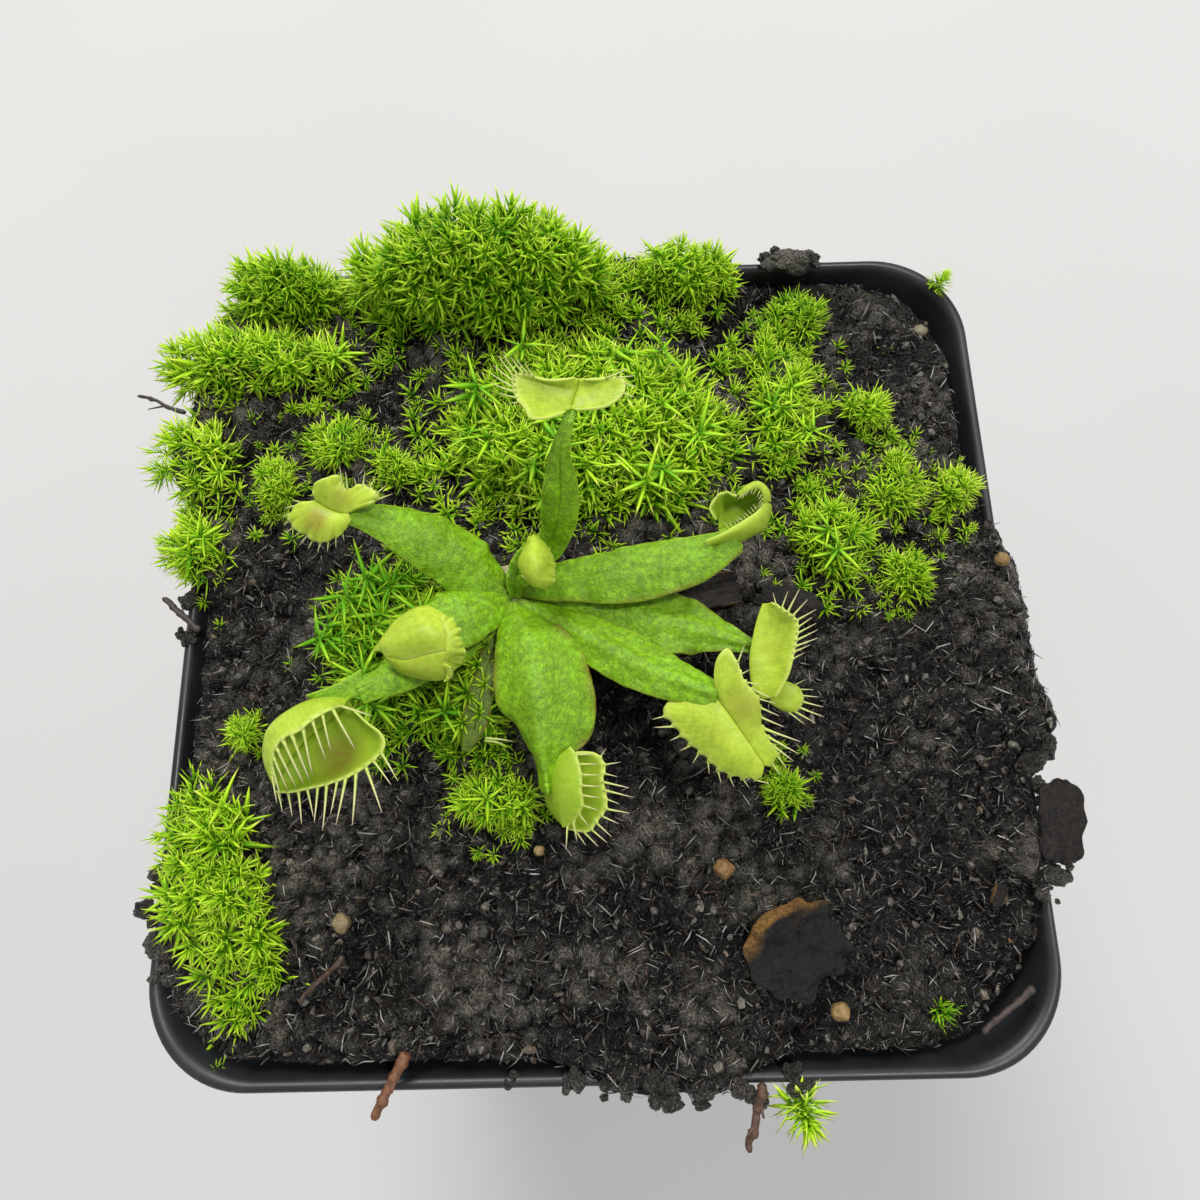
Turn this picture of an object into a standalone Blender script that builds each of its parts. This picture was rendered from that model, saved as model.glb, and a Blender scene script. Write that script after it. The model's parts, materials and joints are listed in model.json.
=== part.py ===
"""A potted Venus flytrap: a square nursery pot, the moist peat heaped in it, the plant with its ten leaves,
the moss that grows over the peat, and the bark, twigs and grit that lie on it.

The tables and the helper functions below work in millimetres, and the meshes are stored in metres.
The origin is the middle of the pot's underside, +Z is up, and +Y is the back of the pot, where the moss
stands tallest. Pieces that rest on each other keep a gap of GAP."""

import math

import bmesh
import bpy
from mathutils import Matrix, Vector

MM = 0.001
GAP = 0.3

# The pot, a thin moulded shell. POT_PROFILE is its outer side as (half width, height), from the base up.
POT_HEIGHT = 80.0
POT_HALF = 45.0
POT_CORNER = 10.5
POT_WALL = 0.9
CORNER_TAPER = 0.2
CORNER_STEPS = 6
POT_PROFILE = (
    (31.6, 0.0),
    (32.8, 1.2),
    (41.6, 69.5),
    (42.9, 70.6),
    (44.1, 78.0),
    (POT_HALF, 79.0),
    (POT_HALF, POT_HEIGHT),
)
HOLE_RADIUS = 3.4
HOLE_REACH = 23.0

# The peat's surface: a level just under the rim, with swells and dips as (x, y, spread, height).
PEAT_LEVEL = POT_HEIGHT - 0.5
PEAT_SWELLS = (
    (-6.0, 4.0, 26.0, 6.5),
    (42.0, 42.0, 14.0, -4.6),
    (42.0, -42.0, 14.0, -5.0),
    (-42.0, -42.0, 13.0, -3.4),
    (-46.0, -7.0, 9.0, -2.2),
    (47.0, -3.0, 20.0, 2.6),
    (8.0, -47.0, 17.0, 2.0),
    (-47.0, 19.0, 14.0, 2.6),
    (-8.0, 46.0, 24.0, 2.2),
    (-44.0, 42.0, 12.0, 1.2),
)
SPILL_START = POT_HEIGHT + 0.7
SPILL_FULL = SPILL_START + 0.6
SPILL_MOST = 1.2
SPILL_DROP = 1.3
COLUMN_ANGLES = (-45.0, -41.5, -38.0, -30.0, -22.0, -14.0, -7.0, 0.0, 7.0, 14.0, 22.0, 30.0, 38.0, 41.5)
PEAT_RINGS = (0.94, 0.82, 0.66, 0.48, 0.30, 0.14)

# The rhizome, a short bulb at the crown of the plant, with its roots as (turn, length).
CROWN = (-8.0, 1.5)
BULB_RADIUS = 4.2
BULB_HEIGHT = 3.0
BULB_LEVEL = 85.0
ROOTS = ((20.0, 30.0), (140.0, 36.0), (265.0, 27.0))
ROOT_RADIUS = 1.1
ROOT_SPREAD = 16.0

LEAF_THICKNESS = 0.9
LOBE_THICKNESS = 0.6
BLADE_STATIONS = 8
BLADE_ACROSS = (-1.0, -0.5, 0.0, 0.5, 1.0)

# Each leaf: its blade as points (x, y, z, half width) from the crown to the trap, how far its edges rise
# as a share of its half width, how far it banks to its left in degrees, and its trap.
# A trap: the hinge's heading, rise and length, then two lobes. A lobe: heading and rise where it leaves the
# hinge, heading and rise at its margin, width, length of its teeth. Last comes the number of teeth on a lobe.
LEAVES = {
    "leaf_upper_left": dict(
        blade=((-10.2, 2.6, 88.4, 0.6), (-13.0, 4.4, 91.6, 2.4), (-16.6, 6.1, 93.8, 2.4),
               (-19.8, 7.3, 95.0, 1.6), (-22.4, 8.0, 95.6, 1.1)),
        cup=0.18, bank=8.0,
        trap=dict(hinge=(202.0, 4.0, 3.6), left=(276.0, 10.0, 256.0, 0.0, 3.4, 0.9),
                  right=(104.0, 24.0, 84.0, 34.0, 3.2, 0.7), teeth=8),
    ),
    "leaf_left_young": dict(
        blade=((-10.4, 1.1, 88.4, 0.5), (-12.2, -0.8, 90.9, 2.4), (-15.0, -2.6, 91.9, 2.7),
               (-17.6, -3.8, 92.4, 1.8), (-19.7, -4.6, 93.0, 0.8)),
        cup=0.12, bank=-6.0,
        trap=dict(hinge=(6.0, 14.0, 6.6), left=(96.0, 4.0, 92.0, -32.0, 3.0, 0.3),
                  right=(276.0, 4.0, 280.0, -34.0, 3.0, 0.3), teeth=7),
    ),
    "leaf_lower_left": dict(
        blade=((-9.9, -0.6, 88.1, 0.5), (-12.8, -3.2, 88.5, 1.5), (-16.6, -5.0, 89.2, 2.0),
               (-20.0, -6.6, 90.2, 2.1), (-22.8, -8.6, 91.8, 2.1)),
        cup=0.3, bank=0.0,
        trap=dict(hinge=(216.0, -4.0, 7.2), left=(314.0, -4.0, 304.0, -14.0, 5.8, 2.6),
                  right=(150.0, 66.0, 322.0, 50.0, 4.8, 3.2), teeth=8),
    ),
    "leaf_front": dict(
        blade=((-7.8, -1.0, 88.4, 0.5), (-6.3, -4.3, 92.0, 3.3), (-4.6, -8.0, 93.8, 4.2),
               (-4.0, -11.8, 93.2, 3.4), (-4.3, -16.6, 90.8, 1.3)),
        cup=-0.16, bank=-6.0,
        trap=dict(hinge=(282.0, -14.0, 4.8), left=(0.0, 40.0, 0.0, 16.0, 2.9, 1.2),
                  right=(352.0, -20.0, 4.0, 10.0, 4.3, 1.5), teeth=8),
    ),
    "leaf_lower_right": dict(
        blade=((-5.9, -0.6, 88.4, 0.45), (-2.6, -2.4, 89.9, 1.3), (0.9, -4.8, 91.4, 2.2),
               (5.0, -7.4, 93.0, 2.4), (10.2, -9.2, 94.2, 1.2)),
        cup=0.14, bank=0.0,
        trap=dict(hinge=(320.0, 0.0, 6.0), left=(62.0, 38.0, 96.0, 62.0, 4.4, 0.9),
                  right=(220.0, 8.0, 228.0, -8.0, 5.2, 1.5), teeth=8),
    ),
    "leaf_right": dict(
        blade=((-5.5, 1.0, 88.0, 0.45), (-2.8, 0.5, 88.4, 1.4), (1.4, -0.6, 89.0, 2.5),
               (5.8, -1.9, 89.8, 2.9), (10.2, -3.3, 90.4, 2.4), (14.0, -5.4, 91.2, 1.2)),
        cup=0.12, bank=-4.0,
        trap=dict(hinge=(312.0, 8.0, 4.2), left=(62.0, 34.0, 78.0, 56.0, 6.2, 1.8),
                  right=(10.0, -12.0, 346.0, -18.0, 3.6, 1.6), teeth=8),
    ),
    "leaf_upper_right": dict(
        blade=((-6.0, 2.7, 88.4, 0.5), (-2.8, 2.4, 90.6, 1.8), (2.0, 2.5, 92.0, 2.4),
               (7.6, 2.9, 93.0, 2.7), (12.2, 4.0, 93.8, 2.0)),
        cup=0.16, bank=-8.0,
        trap=dict(hinge=(34.0, 14.0, 4.4), left=(128.0, 18.0, 134.0, 52.0, 3.4, 0.2),
                  right=(304.0, 10.0, 292.0, 64.0, 2.4, 0.2), teeth=8),
    ),
    "leaf_top": dict(
        blade=((-7.1, 3.8, 88.3, 0.5), (-3.9, 5.6, 92.4, 1.4), (-2.7, 7.6, 97.6, 1.6),
               (-2.5, 10.2, 101.6, 1.4), (-2.0, 12.2, 104.4, 0.9)),
        cup=0.3, bank=0.0,
        trap=dict(hinge=(80.0, 10.0, 2.4), left=(176.0, 12.0, 168.0, 4.0, 4.6, 1.6),
                  right=(356.0, 10.0, 4.0, 20.0, 4.3, 0.6), teeth=8),
    ),
    "leaf_centre": dict(
        blade=((-7.9, 2.1, 88.9, 0.5), (-7.4, 2.9, 90.4, 0.8), (-6.2, 3.6, 92.4, 0.8),
               (-5.3, 4.3, 94.2, 0.6)),
        cup=0.3, bank=0.0,
        trap=dict(hinge=(282.0, -8.0, 3.4), left=(8.0, -20.0, 10.0, -60.0, 1.3, 0.2),
                  right=(192.0, -20.0, 190.0, -60.0, 1.3, 0.2), teeth=4),
    ),
    "leaf_old_front": dict(
        blade=((-8.8, -1.5, 88.0, 0.5), (-10.0, -4.4, 88.3, 1.0), (-10.8, -7.8, 88.9, 1.1),
               (-11.2, -11.2, 89.0, 0.7)),
        cup=0.1, bank=0.0,
        trap=dict(hinge=(268.0, -4.0, 1.9), left=(356.0, 6.0, 350.0, -4.0, 2.9, 0.7),
                  right=(184.0, 6.0, 188.0, -4.0, 2.9, 0.7), teeth=4),
    ),
}

# Each moss cushion: x, y, half width, half depth, turn, height, and whether it hangs over the rim.
MOSS_EDGE = 0.8
MOSS_LIFT = 0.45
MOSS_SEGMENTS = 14
MOSS_BANDS = 6
MOSS = {
    "moss_back": (-12.2, 39.4, 16.4, 7.0, 0.0, 13.0, True),
    "moss_back_left": (-36.0, 40.2, 7.0, 4.2, 0.0, 6.5, True),
    "moss_left": (-39.4, 31.2, 11.4, 4.2, 0.0, 4.6, True),
    "moss_centre": (0.0, 20.6, 17.0, 11.4, 0.0, 5.4, False),
    "moss_back_right": (11.8, 41.8, 6.9, 3.8, 0.0, 4.6, True),
    "moss_back_far_right": (26.0, 37.4, 3.6, 3.4, 0.0, 2.4, False),
    "moss_right_tall": (21.8, 25.0, 4.2, 9.4, 0.0, 3.0, False),
    "moss_right_middle": (26.3, 8.4, 4.7, 5.6, 0.0, 3.2, False),
    "moss_right_outer": (33.6, 15.0, 3.3, 4.4, 0.0, 3.0, False),
    "moss_right_upper": (31.2, 24.2, 3.1, 2.9, 0.0, 2.6, False),
    "moss_right_lower": (33.6, 4.2, 2.5, 2.9, 0.0, 2.4, False),
    "moss_right_edge": (40.3, 14.0, 2.3, 3.0, 0.0, 2.4, False),
    "moss_left_edge": (-45.2, 19.4, 4.2, 5.0, 0.0, 2.8, True),
    "moss_left_edge_low": (-44.4, 8.8, 3.4, 3.8, 0.0, 2.6, True),
    "moss_left_inner": (-34.6, 16.0, 2.5, 3.0, 0.0, 2.4, False),
    "moss_left_middle": (-28.0, 20.6, 4.3, 3.0, 0.0, 2.4, False),
    "moss_left_small": (-21.6, 17.2, 2.4, 1.7, 0.0, 2.2, False),
    "moss_under_leaves": (-21.0, -3.0, 7.6, 9.4, 0.0, 2.6, False),
    "moss_crown": (-11.6, -10.4, 3.5, 4.2, 0.0, 1.8, False),
    "moss_front": (-10.7, -18.2, 4.6, 2.8, 0.0, 2.4, False),
    "moss_left_front": (-38.6, -27.2, 5.9, 13.4, 13.0, 4.6, True),
    "moss_left_front_small": (-37.0, -10.8, 1.5, 2.4, 0.0, 2.2, False),
    "moss_right_front": (18.5, -17.8, 1.9, 1.6, 0.0, 2.0, False),
    "moss_corner": (33.6, -39.6, 1.8, 2.0, 0.0, 2.0, False),
}
# Single moss shoots that hang outside the rim: x, y, z, half width, half depth, half height.
MOSS_SHOOTS = {
    "moss_shoot_front": (18.8, -48.4, 80.6, 3.2, 3.2, 1.2),
    "moss_shoot_corner": (42.6, 41.2, 81.4, 2.0, 1.1, 0.9),
}

# Bark and clods, which lie on the peat: x, y, half width, half depth, thickness, turn, lift.
BARK = {
    "bark_chip_inner": (12.6, 2.2, 3.7, 1.6, 1.3, 12.0, 0.0),
    "bark_chip_outer": (20.4, 1.2, 3.6, 1.8, 1.8, -14.0, 0.0),
    "bark_flake_front": (19.0, -32.8, 6.2, 4.2, 1.5, 30.0, 0.0),
    "bark_flake_rim": (46.0, -21.6, 2.4, 5.0, 1.3, -8.0, 0.1),
    "bark_chip_right": (40.2, -28.7, 1.3, 0.7, 0.8, 60.0, 0.0),
    "peat_clod_back": (24.2, 43.6, 3.0, 1.6, 2.4, -8.0, 0.1),
}
# Twigs and splinters: two ends as (x, y, height over the peat or rim) and the thickness.
TWIGS = {
    "twig_left": ((-51.6, 27.2, 1.2), (-45.6, 25.4, 0.7), 0.7),
    "twig_left_low": ((-47.4, 3.6, 0.4), (-42.6, 0.4, 0.5), 0.9),
    "splinter_front": ((-21.8, -46.6, 0.4), (-18.8, -41.4, 0.4), 1.2),
    "twig_front": ((13.5, -50.4, -1.4), (14.6, -44.6, -0.5), 0.9),
    "twig_corner": ((36.4, -40.8, 0.6), (41.3, -36.8, 0.6), 0.7),
    "twig_front_left": ((-29.9, -36.9, 0.6), (-25.5, -32.8, 0.6), 0.7),
}
# Grains of grit: x, y, radius.
GRIT = {
    "grit_corner": (40.9, -33.4, 1.0),
    "grit_corner_small": (38.0, -34.8, 0.7),
    "grit_back_corner": (40.6, 36.4, 1.2),
    "grit_right": (43.4, 5.4, 1.0),
    "grit_front_pair": (12.0, -25.2, 1.3),
    "grit_front": (22.6, -38.6, 1.2),
    "grit_left": (-25.6, -29.6, 1.2),
    "grit_centre": (-6.0, -23.2, 0.7),
}

COLOURS = {
    "pot": (0.018, 0.019, 0.021, 0.42),
    "peat": (0.020, 0.016, 0.013, 0.85),
    "rhizome": (0.62, 0.60, 0.46, 0.6),
    "leaf": (0.20, 0.42, 0.03, 0.4),
    "moss": (0.16, 0.36, 0.02, 0.6),
    "bark": (0.10, 0.055, 0.03, 0.8),
    "twig": (0.05, 0.03, 0.02, 0.8),
    "grit": (0.45, 0.34, 0.18, 0.7),
}


def clear_scene():
    for thing in list(bpy.data.objects):
        bpy.data.objects.remove(thing)
    for name in ("potted_venus_flytrap", "helpers"):
        bpy.context.scene.collection.children.link(bpy.data.collections.new(name))


def material(name):
    """The Principled material of one kind of piece."""
    if name in bpy.data.materials:
        return bpy.data.materials[name]
    red, green, blue, roughness = COLOURS[name]
    made = bpy.data.materials.new(name)
    made.use_nodes = True
    shader = made.node_tree.nodes["Principled BSDF"]
    shader.inputs["Base Color"].default_value = (red, green, blue, 1.0)
    shader.inputs["Roughness"].default_value = roughness
    return made


def add_mesh(name, points, faces, finish, helper=False):
    """A mesh object from points in millimetres. A helper is left out of the model."""
    mesh = bpy.data.meshes.new(name)
    mesh.from_pydata([Vector(point) * MM for point in points], [], faces)
    return add_object(name, mesh, finish, helper)


def add_object(name, mesh, finish, helper=False):
    """An object of this mesh, with its faces turned outwards."""
    work = bmesh.new()
    work.from_mesh(mesh)
    bmesh.ops.recalc_face_normals(work, faces=work.faces)
    work.to_mesh(mesh)
    work.free()
    mesh.shade_smooth()
    made = bpy.data.objects.new(name, mesh)
    made.data.materials.append(material(finish))
    bpy.data.collections["helpers" if helper else "potted_venus_flytrap"].objects.link(made)
    if helper:
        made.hide_render = True
        made.display_type = "WIRE"
    return made


def combine(target, other, operation):
    """Joins or cuts one object with a helper."""
    change = target.modifiers.new(operation.title(), "BOOLEAN")
    change.operation = operation
    change.solver = "EXACT"
    change.object = other


def heading(turn, rise):
    """The unit vector at this heading in the XY plane and this rise over it, both in degrees."""
    turn, rise = math.radians(turn), math.radians(rise)
    return Vector((math.cos(rise) * math.cos(turn), math.cos(rise) * math.sin(turn), math.sin(rise)))


def rounded_square(half, corner):
    """The outline of a square with round corners, as (x, y) going round from the right side."""
    outline = []
    for quarter in range(4):
        for step in range(CORNER_STEPS + 1):
            angle = math.radians(90.0 * quarter + 90.0 * step / CORNER_STEPS)
            turn = math.radians(90.0 * quarter + 45.0)
            middle = (half - corner) * math.sqrt(2.0)
            outline.append((
                middle * math.cos(turn) + corner * math.cos(angle),
                middle * math.sin(turn) + corner * math.sin(angle),
            ))
    return outline


def square_reach(angle, half, corner):
    """How far the outline of such a square is from its middle in one direction."""
    folded = abs((angle + math.pi / 4) % (math.pi / 2) - math.pi / 4)
    straight = half - corner
    if half * math.tan(folded) <= straight:
        return half / math.cos(folded)
    along = straight * (math.cos(folded) + math.sin(folded))
    return along + math.sqrt(along * along - 2 * straight * straight + corner * corner)


def corner_of(half):
    return POT_CORNER - (POT_HALF - half) * CORNER_TAPER


def pot_half(z):
    """The pot's outer half width at this height."""
    for (low_half, low), (high_half, high) in zip(POT_PROFILE, POT_PROFILE[1:]):
        if z <= high:
            return low_half + (high_half - low_half) * (z - low) / (high - low)
    return POT_HALF


def peat_height(x, y):
    """The height of the peat's surface at one place."""
    z = PEAT_LEVEL
    for at_x, at_y, spread, height in PEAT_SWELLS:
        z += height * math.exp(-((x - at_x) ** 2 + (y - at_y) ** 2) / spread**2)
    return z


def support_height(x, y, over_rim):
    """What a loose piece lies on: the peat, and near the rim the rim itself."""
    z = peat_height(x, y)
    if over_rim:
        inside = POT_HALF - 3.0 - max(abs(x), abs(y))
        z = max(z, POT_HEIGHT + 0.2 - 0.6 * max(0.0, inside))
    return z


def loft(rings):
    """Quads between rings of equally many points, and a face over each end."""
    count = len(rings[0])
    faces = []
    for k in range(len(rings) - 1):
        for i in range(count):
            j = (i + 1) % count
            faces.append((k * count + i, k * count + j, (k + 1) * count + j, (k + 1) * count + i))
    return [point for ring in rings for point in ring], faces, count


def build_pot():
    """The pot's outer side as an open surface, thickened inwards, with drainage holes in its base."""
    rings = [
        [(x, y, z) for x, y in rounded_square(half, corner_of(half))] for half, z in POT_PROFILE
    ]
    points, faces, count = loft(rings)
    faces.append(tuple(reversed(range(count))))
    pot = add_mesh("pot", points, faces, "pot")
    shell = pot.modifiers.new("Wall", "SOLIDIFY")
    shell.thickness = POT_WALL * MM
    shell.offset = -1.0
    shell.use_even_offset = True
    work = bmesh.new()
    for x in (-HOLE_REACH, 0.0, HOLE_REACH):
        for y in (-HOLE_REACH, 0.0, HOLE_REACH):
            if x or y:
                bmesh.ops.create_cone(
                    work, cap_ends=True, segments=16, radius1=HOLE_RADIUS * MM,
                    radius2=HOLE_RADIUS * MM, depth=8 * MM,
                    matrix=Matrix.Translation(Vector((x, y, 0.0)) * MM),
                )
    mesh = bpy.data.meshes.new("drainage_holes")
    work.to_mesh(mesh)
    work.free()
    combine(pot, add_object("drainage_holes", mesh, "pot", helper=True), "DIFFERENCE")


def peat_column(angle):
    """The side of the peat in one direction, as (reach, z) from the pot's floor to the surface's edge."""
    clear = POT_WALL + GAP + 0.1
    column = []
    for level, z in ((0.0, POT_WALL + GAP + 0.1), (3.0, 3.4), (36.0, 36.0), (69.0, 69.0), (69.0, 72.4)):
        half = pot_half(level) - clear
        column.append((square_reach(angle, half, corner_of(half) - clear), z))
    collar = pot_half(75.0) - clear
    inner = square_reach(angle, collar, corner_of(collar) - clear)
    rim = square_reach(angle, POT_HALF, POT_CORNER)
    edge = peat_height(rim * math.cos(angle), rim * math.sin(angle))
    spill = min(1.0, max(0.0, (edge - SPILL_START) / (SPILL_FULL - SPILL_START)))
    past = min(1.0, max(0.0, edge - SPILL_FULL))
    knee = inner + spill * (rim + 0.35 - inner)
    over = max(74.7, min(edge - 0.25, POT_HEIGHT + 0.6))
    low = min(edge - 0.7, POT_HEIGHT + 0.2)
    column.append((inner, 74.0))
    column.append((inner, max(74.3, min(low, 78.0))))
    column.append((inner + 0.4 * spill, max(74.5, low + 0.15)))
    column.append((knee, over))
    column.append((knee + 0.05 + SPILL_MOST * past, over + 0.05 - SPILL_DROP * past))
    column.append((knee - 0.3 * spill - 0.2 + SPILL_MOST * past, edge - 0.1))
    return column


def build_peat():
    """The peat fills the pot and is heaped in its middle. It has a socket for the rhizome and its roots."""
    angles = [
        math.radians(90.0 * quarter + angle) for quarter in range(4) for angle in COLUMN_ANGLES
    ]
    columns = [peat_column(angle) for angle in angles]
    rings = []
    for k in range(len(columns[0])):
        rings.append([
            (column[k][0] * math.cos(angle), column[k][0] * math.sin(angle), column[k][1])
            for angle, column in zip(angles, columns)
        ])
    for share in PEAT_RINGS:
        flat = [(share * x, share * y) for x, y, _ in rings[len(columns[0]) - 1]]
        rings.append([(x, y, peat_height(x, y)) for x, y in flat])
    points, faces, count = loft(rings)
    faces.append(tuple(reversed(range(count))))
    points.append((0.0, 0.0, peat_height(0.0, 0.0)))
    last = (len(rings) - 1) * count
    faces.extend((last + i, last + (i + 1) % count, len(points) - 1) for i in range(count))
    peat = add_mesh("peat", points, faces, "peat")
    for cutter in rhizome_shapes(GAP + 0.05, "socket"):
        combine(peat, cutter, "DIFFERENCE")


def rhizome_shapes(grow, name):
    """The bulb and each root as separate helpers, all grown by this much."""
    shapes = []
    work = bmesh.new()
    bmesh.ops.create_uvsphere(work, u_segments=16, v_segments=8, radius=1.0)
    place = Matrix.Translation(Vector((*CROWN, BULB_LEVEL)) * MM)
    size = Vector((BULB_RADIUS + grow, BULB_RADIUS + grow, BULB_HEIGHT + grow)) * MM
    bmesh.ops.transform(work, matrix=place @ Matrix.Diagonal((*size, 1.0)), verts=work.verts)
    shapes.append(helper_from(work, name + "_bulb"))
    for turn, length in ROOTS:
        work = bmesh.new()
        bmesh.ops.create_cone(
            work, cap_ends=True, segments=8, radius1=(0.4 * ROOT_RADIUS + grow) * MM,
            radius2=(ROOT_RADIUS + grow) * MM, depth=(length + 2 * grow) * MM,
        )
        tilt = Matrix.Rotation(math.radians(turn), 4, "Z") @ Matrix.Rotation(
            math.radians(-ROOT_SPREAD), 4, "Y"
        )
        hang = Matrix.Translation(Vector((0.0, 0.0, -length / 2)) * MM)
        bmesh.ops.transform(work, matrix=place @ tilt @ hang, verts=work.verts)
        shapes.append(helper_from(work, f"{name}_root_{turn:.0f}"))
    return shapes


def helper_from(work, name):
    mesh = bpy.data.meshes.new(name)
    work.to_mesh(mesh)
    work.free()
    return add_object(name, mesh, "rhizome", helper=True)


def build_rhizome():
    bulb, *roots = rhizome_shapes(0.0, "rhizome_part")
    rhizome = add_object("rhizome", bulb.data.copy(), "rhizome")
    for root in roots:
        combine(rhizome, root, "UNION")


def along(points, share):
    """A point of a smooth line through these points, by Catmull and Rom's rule."""
    last = len(points) - 1
    at = min(share * last, last - 1e-6)
    k = int(at)
    t = at - k
    before, start = points[max(k - 1, 0)], points[k]
    end, after = points[k + 1], points[min(k + 2, last)]
    return [
        0.5 * (2 * b + (c - a) * t + (2 * a - 5 * b + 4 * c - d) * t**2 + (3 * b - a - 3 * c + d) * t**3)
        for a, b, c, d in zip(before, start, end, after)
    ]


def blade_mesh(name, leaf):
    """The leaf's blade as an open surface, thickened both ways."""
    line = [along(leaf["blade"], i / (BLADE_STATIONS - 1)) for i in range(BLADE_STATIONS)]
    points, faces = [], []
    for i, (x, y, z, half) in enumerate(line):
        ahead, behind = line[min(i + 1, len(line) - 1)], line[max(i - 1, 0)]
        forward = (Vector(ahead[:3]) - Vector(behind[:3])).normalized()
        side = Vector((0.0, 0.0, 1.0)).cross(forward).normalized()
        side = Matrix.Rotation(math.radians(leaf["bank"]), 3, forward) @ side
        up = forward.cross(side)
        for across in BLADE_ACROSS:
            rise = leaf["cup"] * half * across * across
            points.append(Vector((x, y, z)) + side * half * across + up * rise)
    width = len(BLADE_ACROSS)
    for i in range(len(line) - 1):
        for j in range(width - 1):
            a = i * width + j
            faces.append((a, a + 1, a + width + 1, a + width))
    blade = add_mesh(name, points, faces, "leaf")
    thicken(blade, LEAF_THICKNESS)
    return blade


def thicken(thing, thickness):
    wall = thing.modifiers.new("Thickness", "SOLIDIFY")
    wall.thickness = thickness * MM
    wall.offset = 0.0


def lobe_point(trap, lobe, share, out, tooth):
    """A point of a lobe: share runs along the hinge, out from the hinge to the margin."""
    turn, rise, length = trap["hinge"]
    hinge = heading(turn, rise)
    near, far = heading(lobe[0], lobe[1]), heading(lobe[2], lobe[3])
    middle = 2.0 * share - 1.0
    width = lobe[4] * (0.62 + 0.38 * math.sqrt(max(0.0, 1.0 - middle * middle)))
    spread = hinge * (0.5 * length * middle * (1.0 + 0.34 * out))
    place = hinge * (0.5 * length) + spread
    place += near.lerp(far, 0.5 * out).normalized() * width * out
    tip = (far + hinge * 0.45 * middle).normalized()
    return place + tip * tooth


def trap_mesh(name, leaf):
    """The trap: one surface from one toothed margin over the hinge to the other, thickened both ways."""
    trap = leaf["trap"]
    foot = Vector(leaf["blade"][-1][:3])
    columns = 2 * trap["teeth"] + 1
    rows = (("left", 1.0), ("left", 0.5), ("left", 0.0), ("right", 0.5), ("right", 1.0))
    points, faces = [], []
    for side, out in rows:
        for i in range(columns):
            tooth = trap[side][5] if out == 1.0 and i % 2 else 0.0
            points.append(foot + lobe_point(trap, trap[side], i / (columns - 1), out, tooth))
    for j in range(len(rows) - 1):
        for i in range(columns - 1):
            a = j * columns + i
            faces.append((a, a + 1, a + columns + 1, a + columns))
    shape = add_mesh(name + "_trap", points, faces, "leaf", helper=True)
    thicken(shape, LOBE_THICKNESS)
    return shape


def build_leaves():
    for name, leaf in LEAVES.items():
        combine(blade_mesh(name, leaf), trap_mesh(name, leaf), "UNION")


def draped_ball(name, finish, place, drape, segments=MOSS_SEGMENTS, bands=MOSS_BANDS):
    """A ball whose points are laid out by place(x, y) and lifted by drape(x, y, z)."""
    work = bmesh.new()
    bmesh.ops.create_uvsphere(work, u_segments=segments, v_segments=bands, radius=1.0)
    for vertex in work.verts:
        x, y = place(vertex.co.x, vertex.co.y)
        vertex.co = Vector((x, y, drape(x, y, vertex.co.z))) * MM
    mesh = bpy.data.meshes.new(name)
    work.to_mesh(mesh)
    work.free()
    return add_object(name, mesh, finish)


def laid_out(at_x, at_y, half_x, half_y, turn):
    cos, sin = math.cos(math.radians(turn)), math.sin(math.radians(turn))

    def place(x, y):
        return at_x + half_x * x * cos - half_y * y * sin, at_y + half_x * x * sin + half_y * y * cos

    return place


def build_moss():
    for name, (at_x, at_y, half_x, half_y, turn, height, over_rim) in MOSS.items():

        def drape(x, y, z, height=height, over_rim=over_rim):
            rise = MOSS_EDGE + (height * z if z > 0 else MOSS_EDGE * z)
            return support_height(x, y, over_rim) + MOSS_LIFT + rise

        draped_ball(name, "moss", laid_out(at_x, at_y, half_x, half_y, turn), drape)
    for name, (at_x, at_y, at_z, half_x, half_y, half_z) in MOSS_SHOOTS.items():
        draped_ball(
            name, "moss", laid_out(at_x, at_y, half_x, half_y, 0.0),
            lambda x, y, z, at_z=at_z, half_z=half_z: at_z + half_z * z, 10, 5,
        )


def build_bark():
    for name, (at_x, at_y, half_x, half_y, thick, turn, lift) in BARK.items():

        def drape(x, y, z, thick=thick, lift=lift):
            return support_height(x, y, lift > 0.0) + 0.35 + lift + thick * (0.5 + 0.5 * z)

        draped_ball(name, "bark", laid_out(at_x, at_y, half_x, half_y, turn), drape, 10, 6)


def build_grit():
    for name, (at_x, at_y, radius) in GRIT.items():
        bottom = peat_height(at_x, at_y) + 0.35

        def drape(x, y, z, bottom=bottom, radius=radius):
            return bottom + radius * (1.0 + 0.85 * z)

        draped_ball(name, "grit", laid_out(at_x, at_y, radius, 0.8 * radius, 30.0), drape, 8, 5)


def build_twigs():
    for name, (start, end, thick) in TWIGS.items():
        curve = bpy.data.curves.new(name, "CURVE")
        curve.dimensions = "3D"
        curve.bevel_depth = 0.5 * thick * MM
        curve.bevel_resolution = 1
        curve.use_fill_caps = True
        line = curve.splines.new("POLY")
        line.points.add(3)
        for i, point in enumerate(line.points):
            share = i / 3
            x, y = (a + (b - a) * share for a, b in zip(start[:2], end[:2]))
            lift = start[2] + (end[2] - start[2]) * share
            z = support_height(x, y, True) if abs(x) > 40 or abs(y) > 40 else peat_height(x, y)
            point.co = (x * MM, y * MM, (z + lift + 0.5 * thick) * MM, 1.0)
            point.radius = 1.0 - 0.5 * share
        twig = bpy.data.objects.new(name, curve)
        curve.materials.append(material("twig"))
        bpy.data.collections["potted_venus_flytrap"].objects.link(twig)


clear_scene()
build_pot()
build_peat()
build_rhizome()
build_leaves()
build_moss()
build_bark()
build_grit()
build_twigs()
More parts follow.
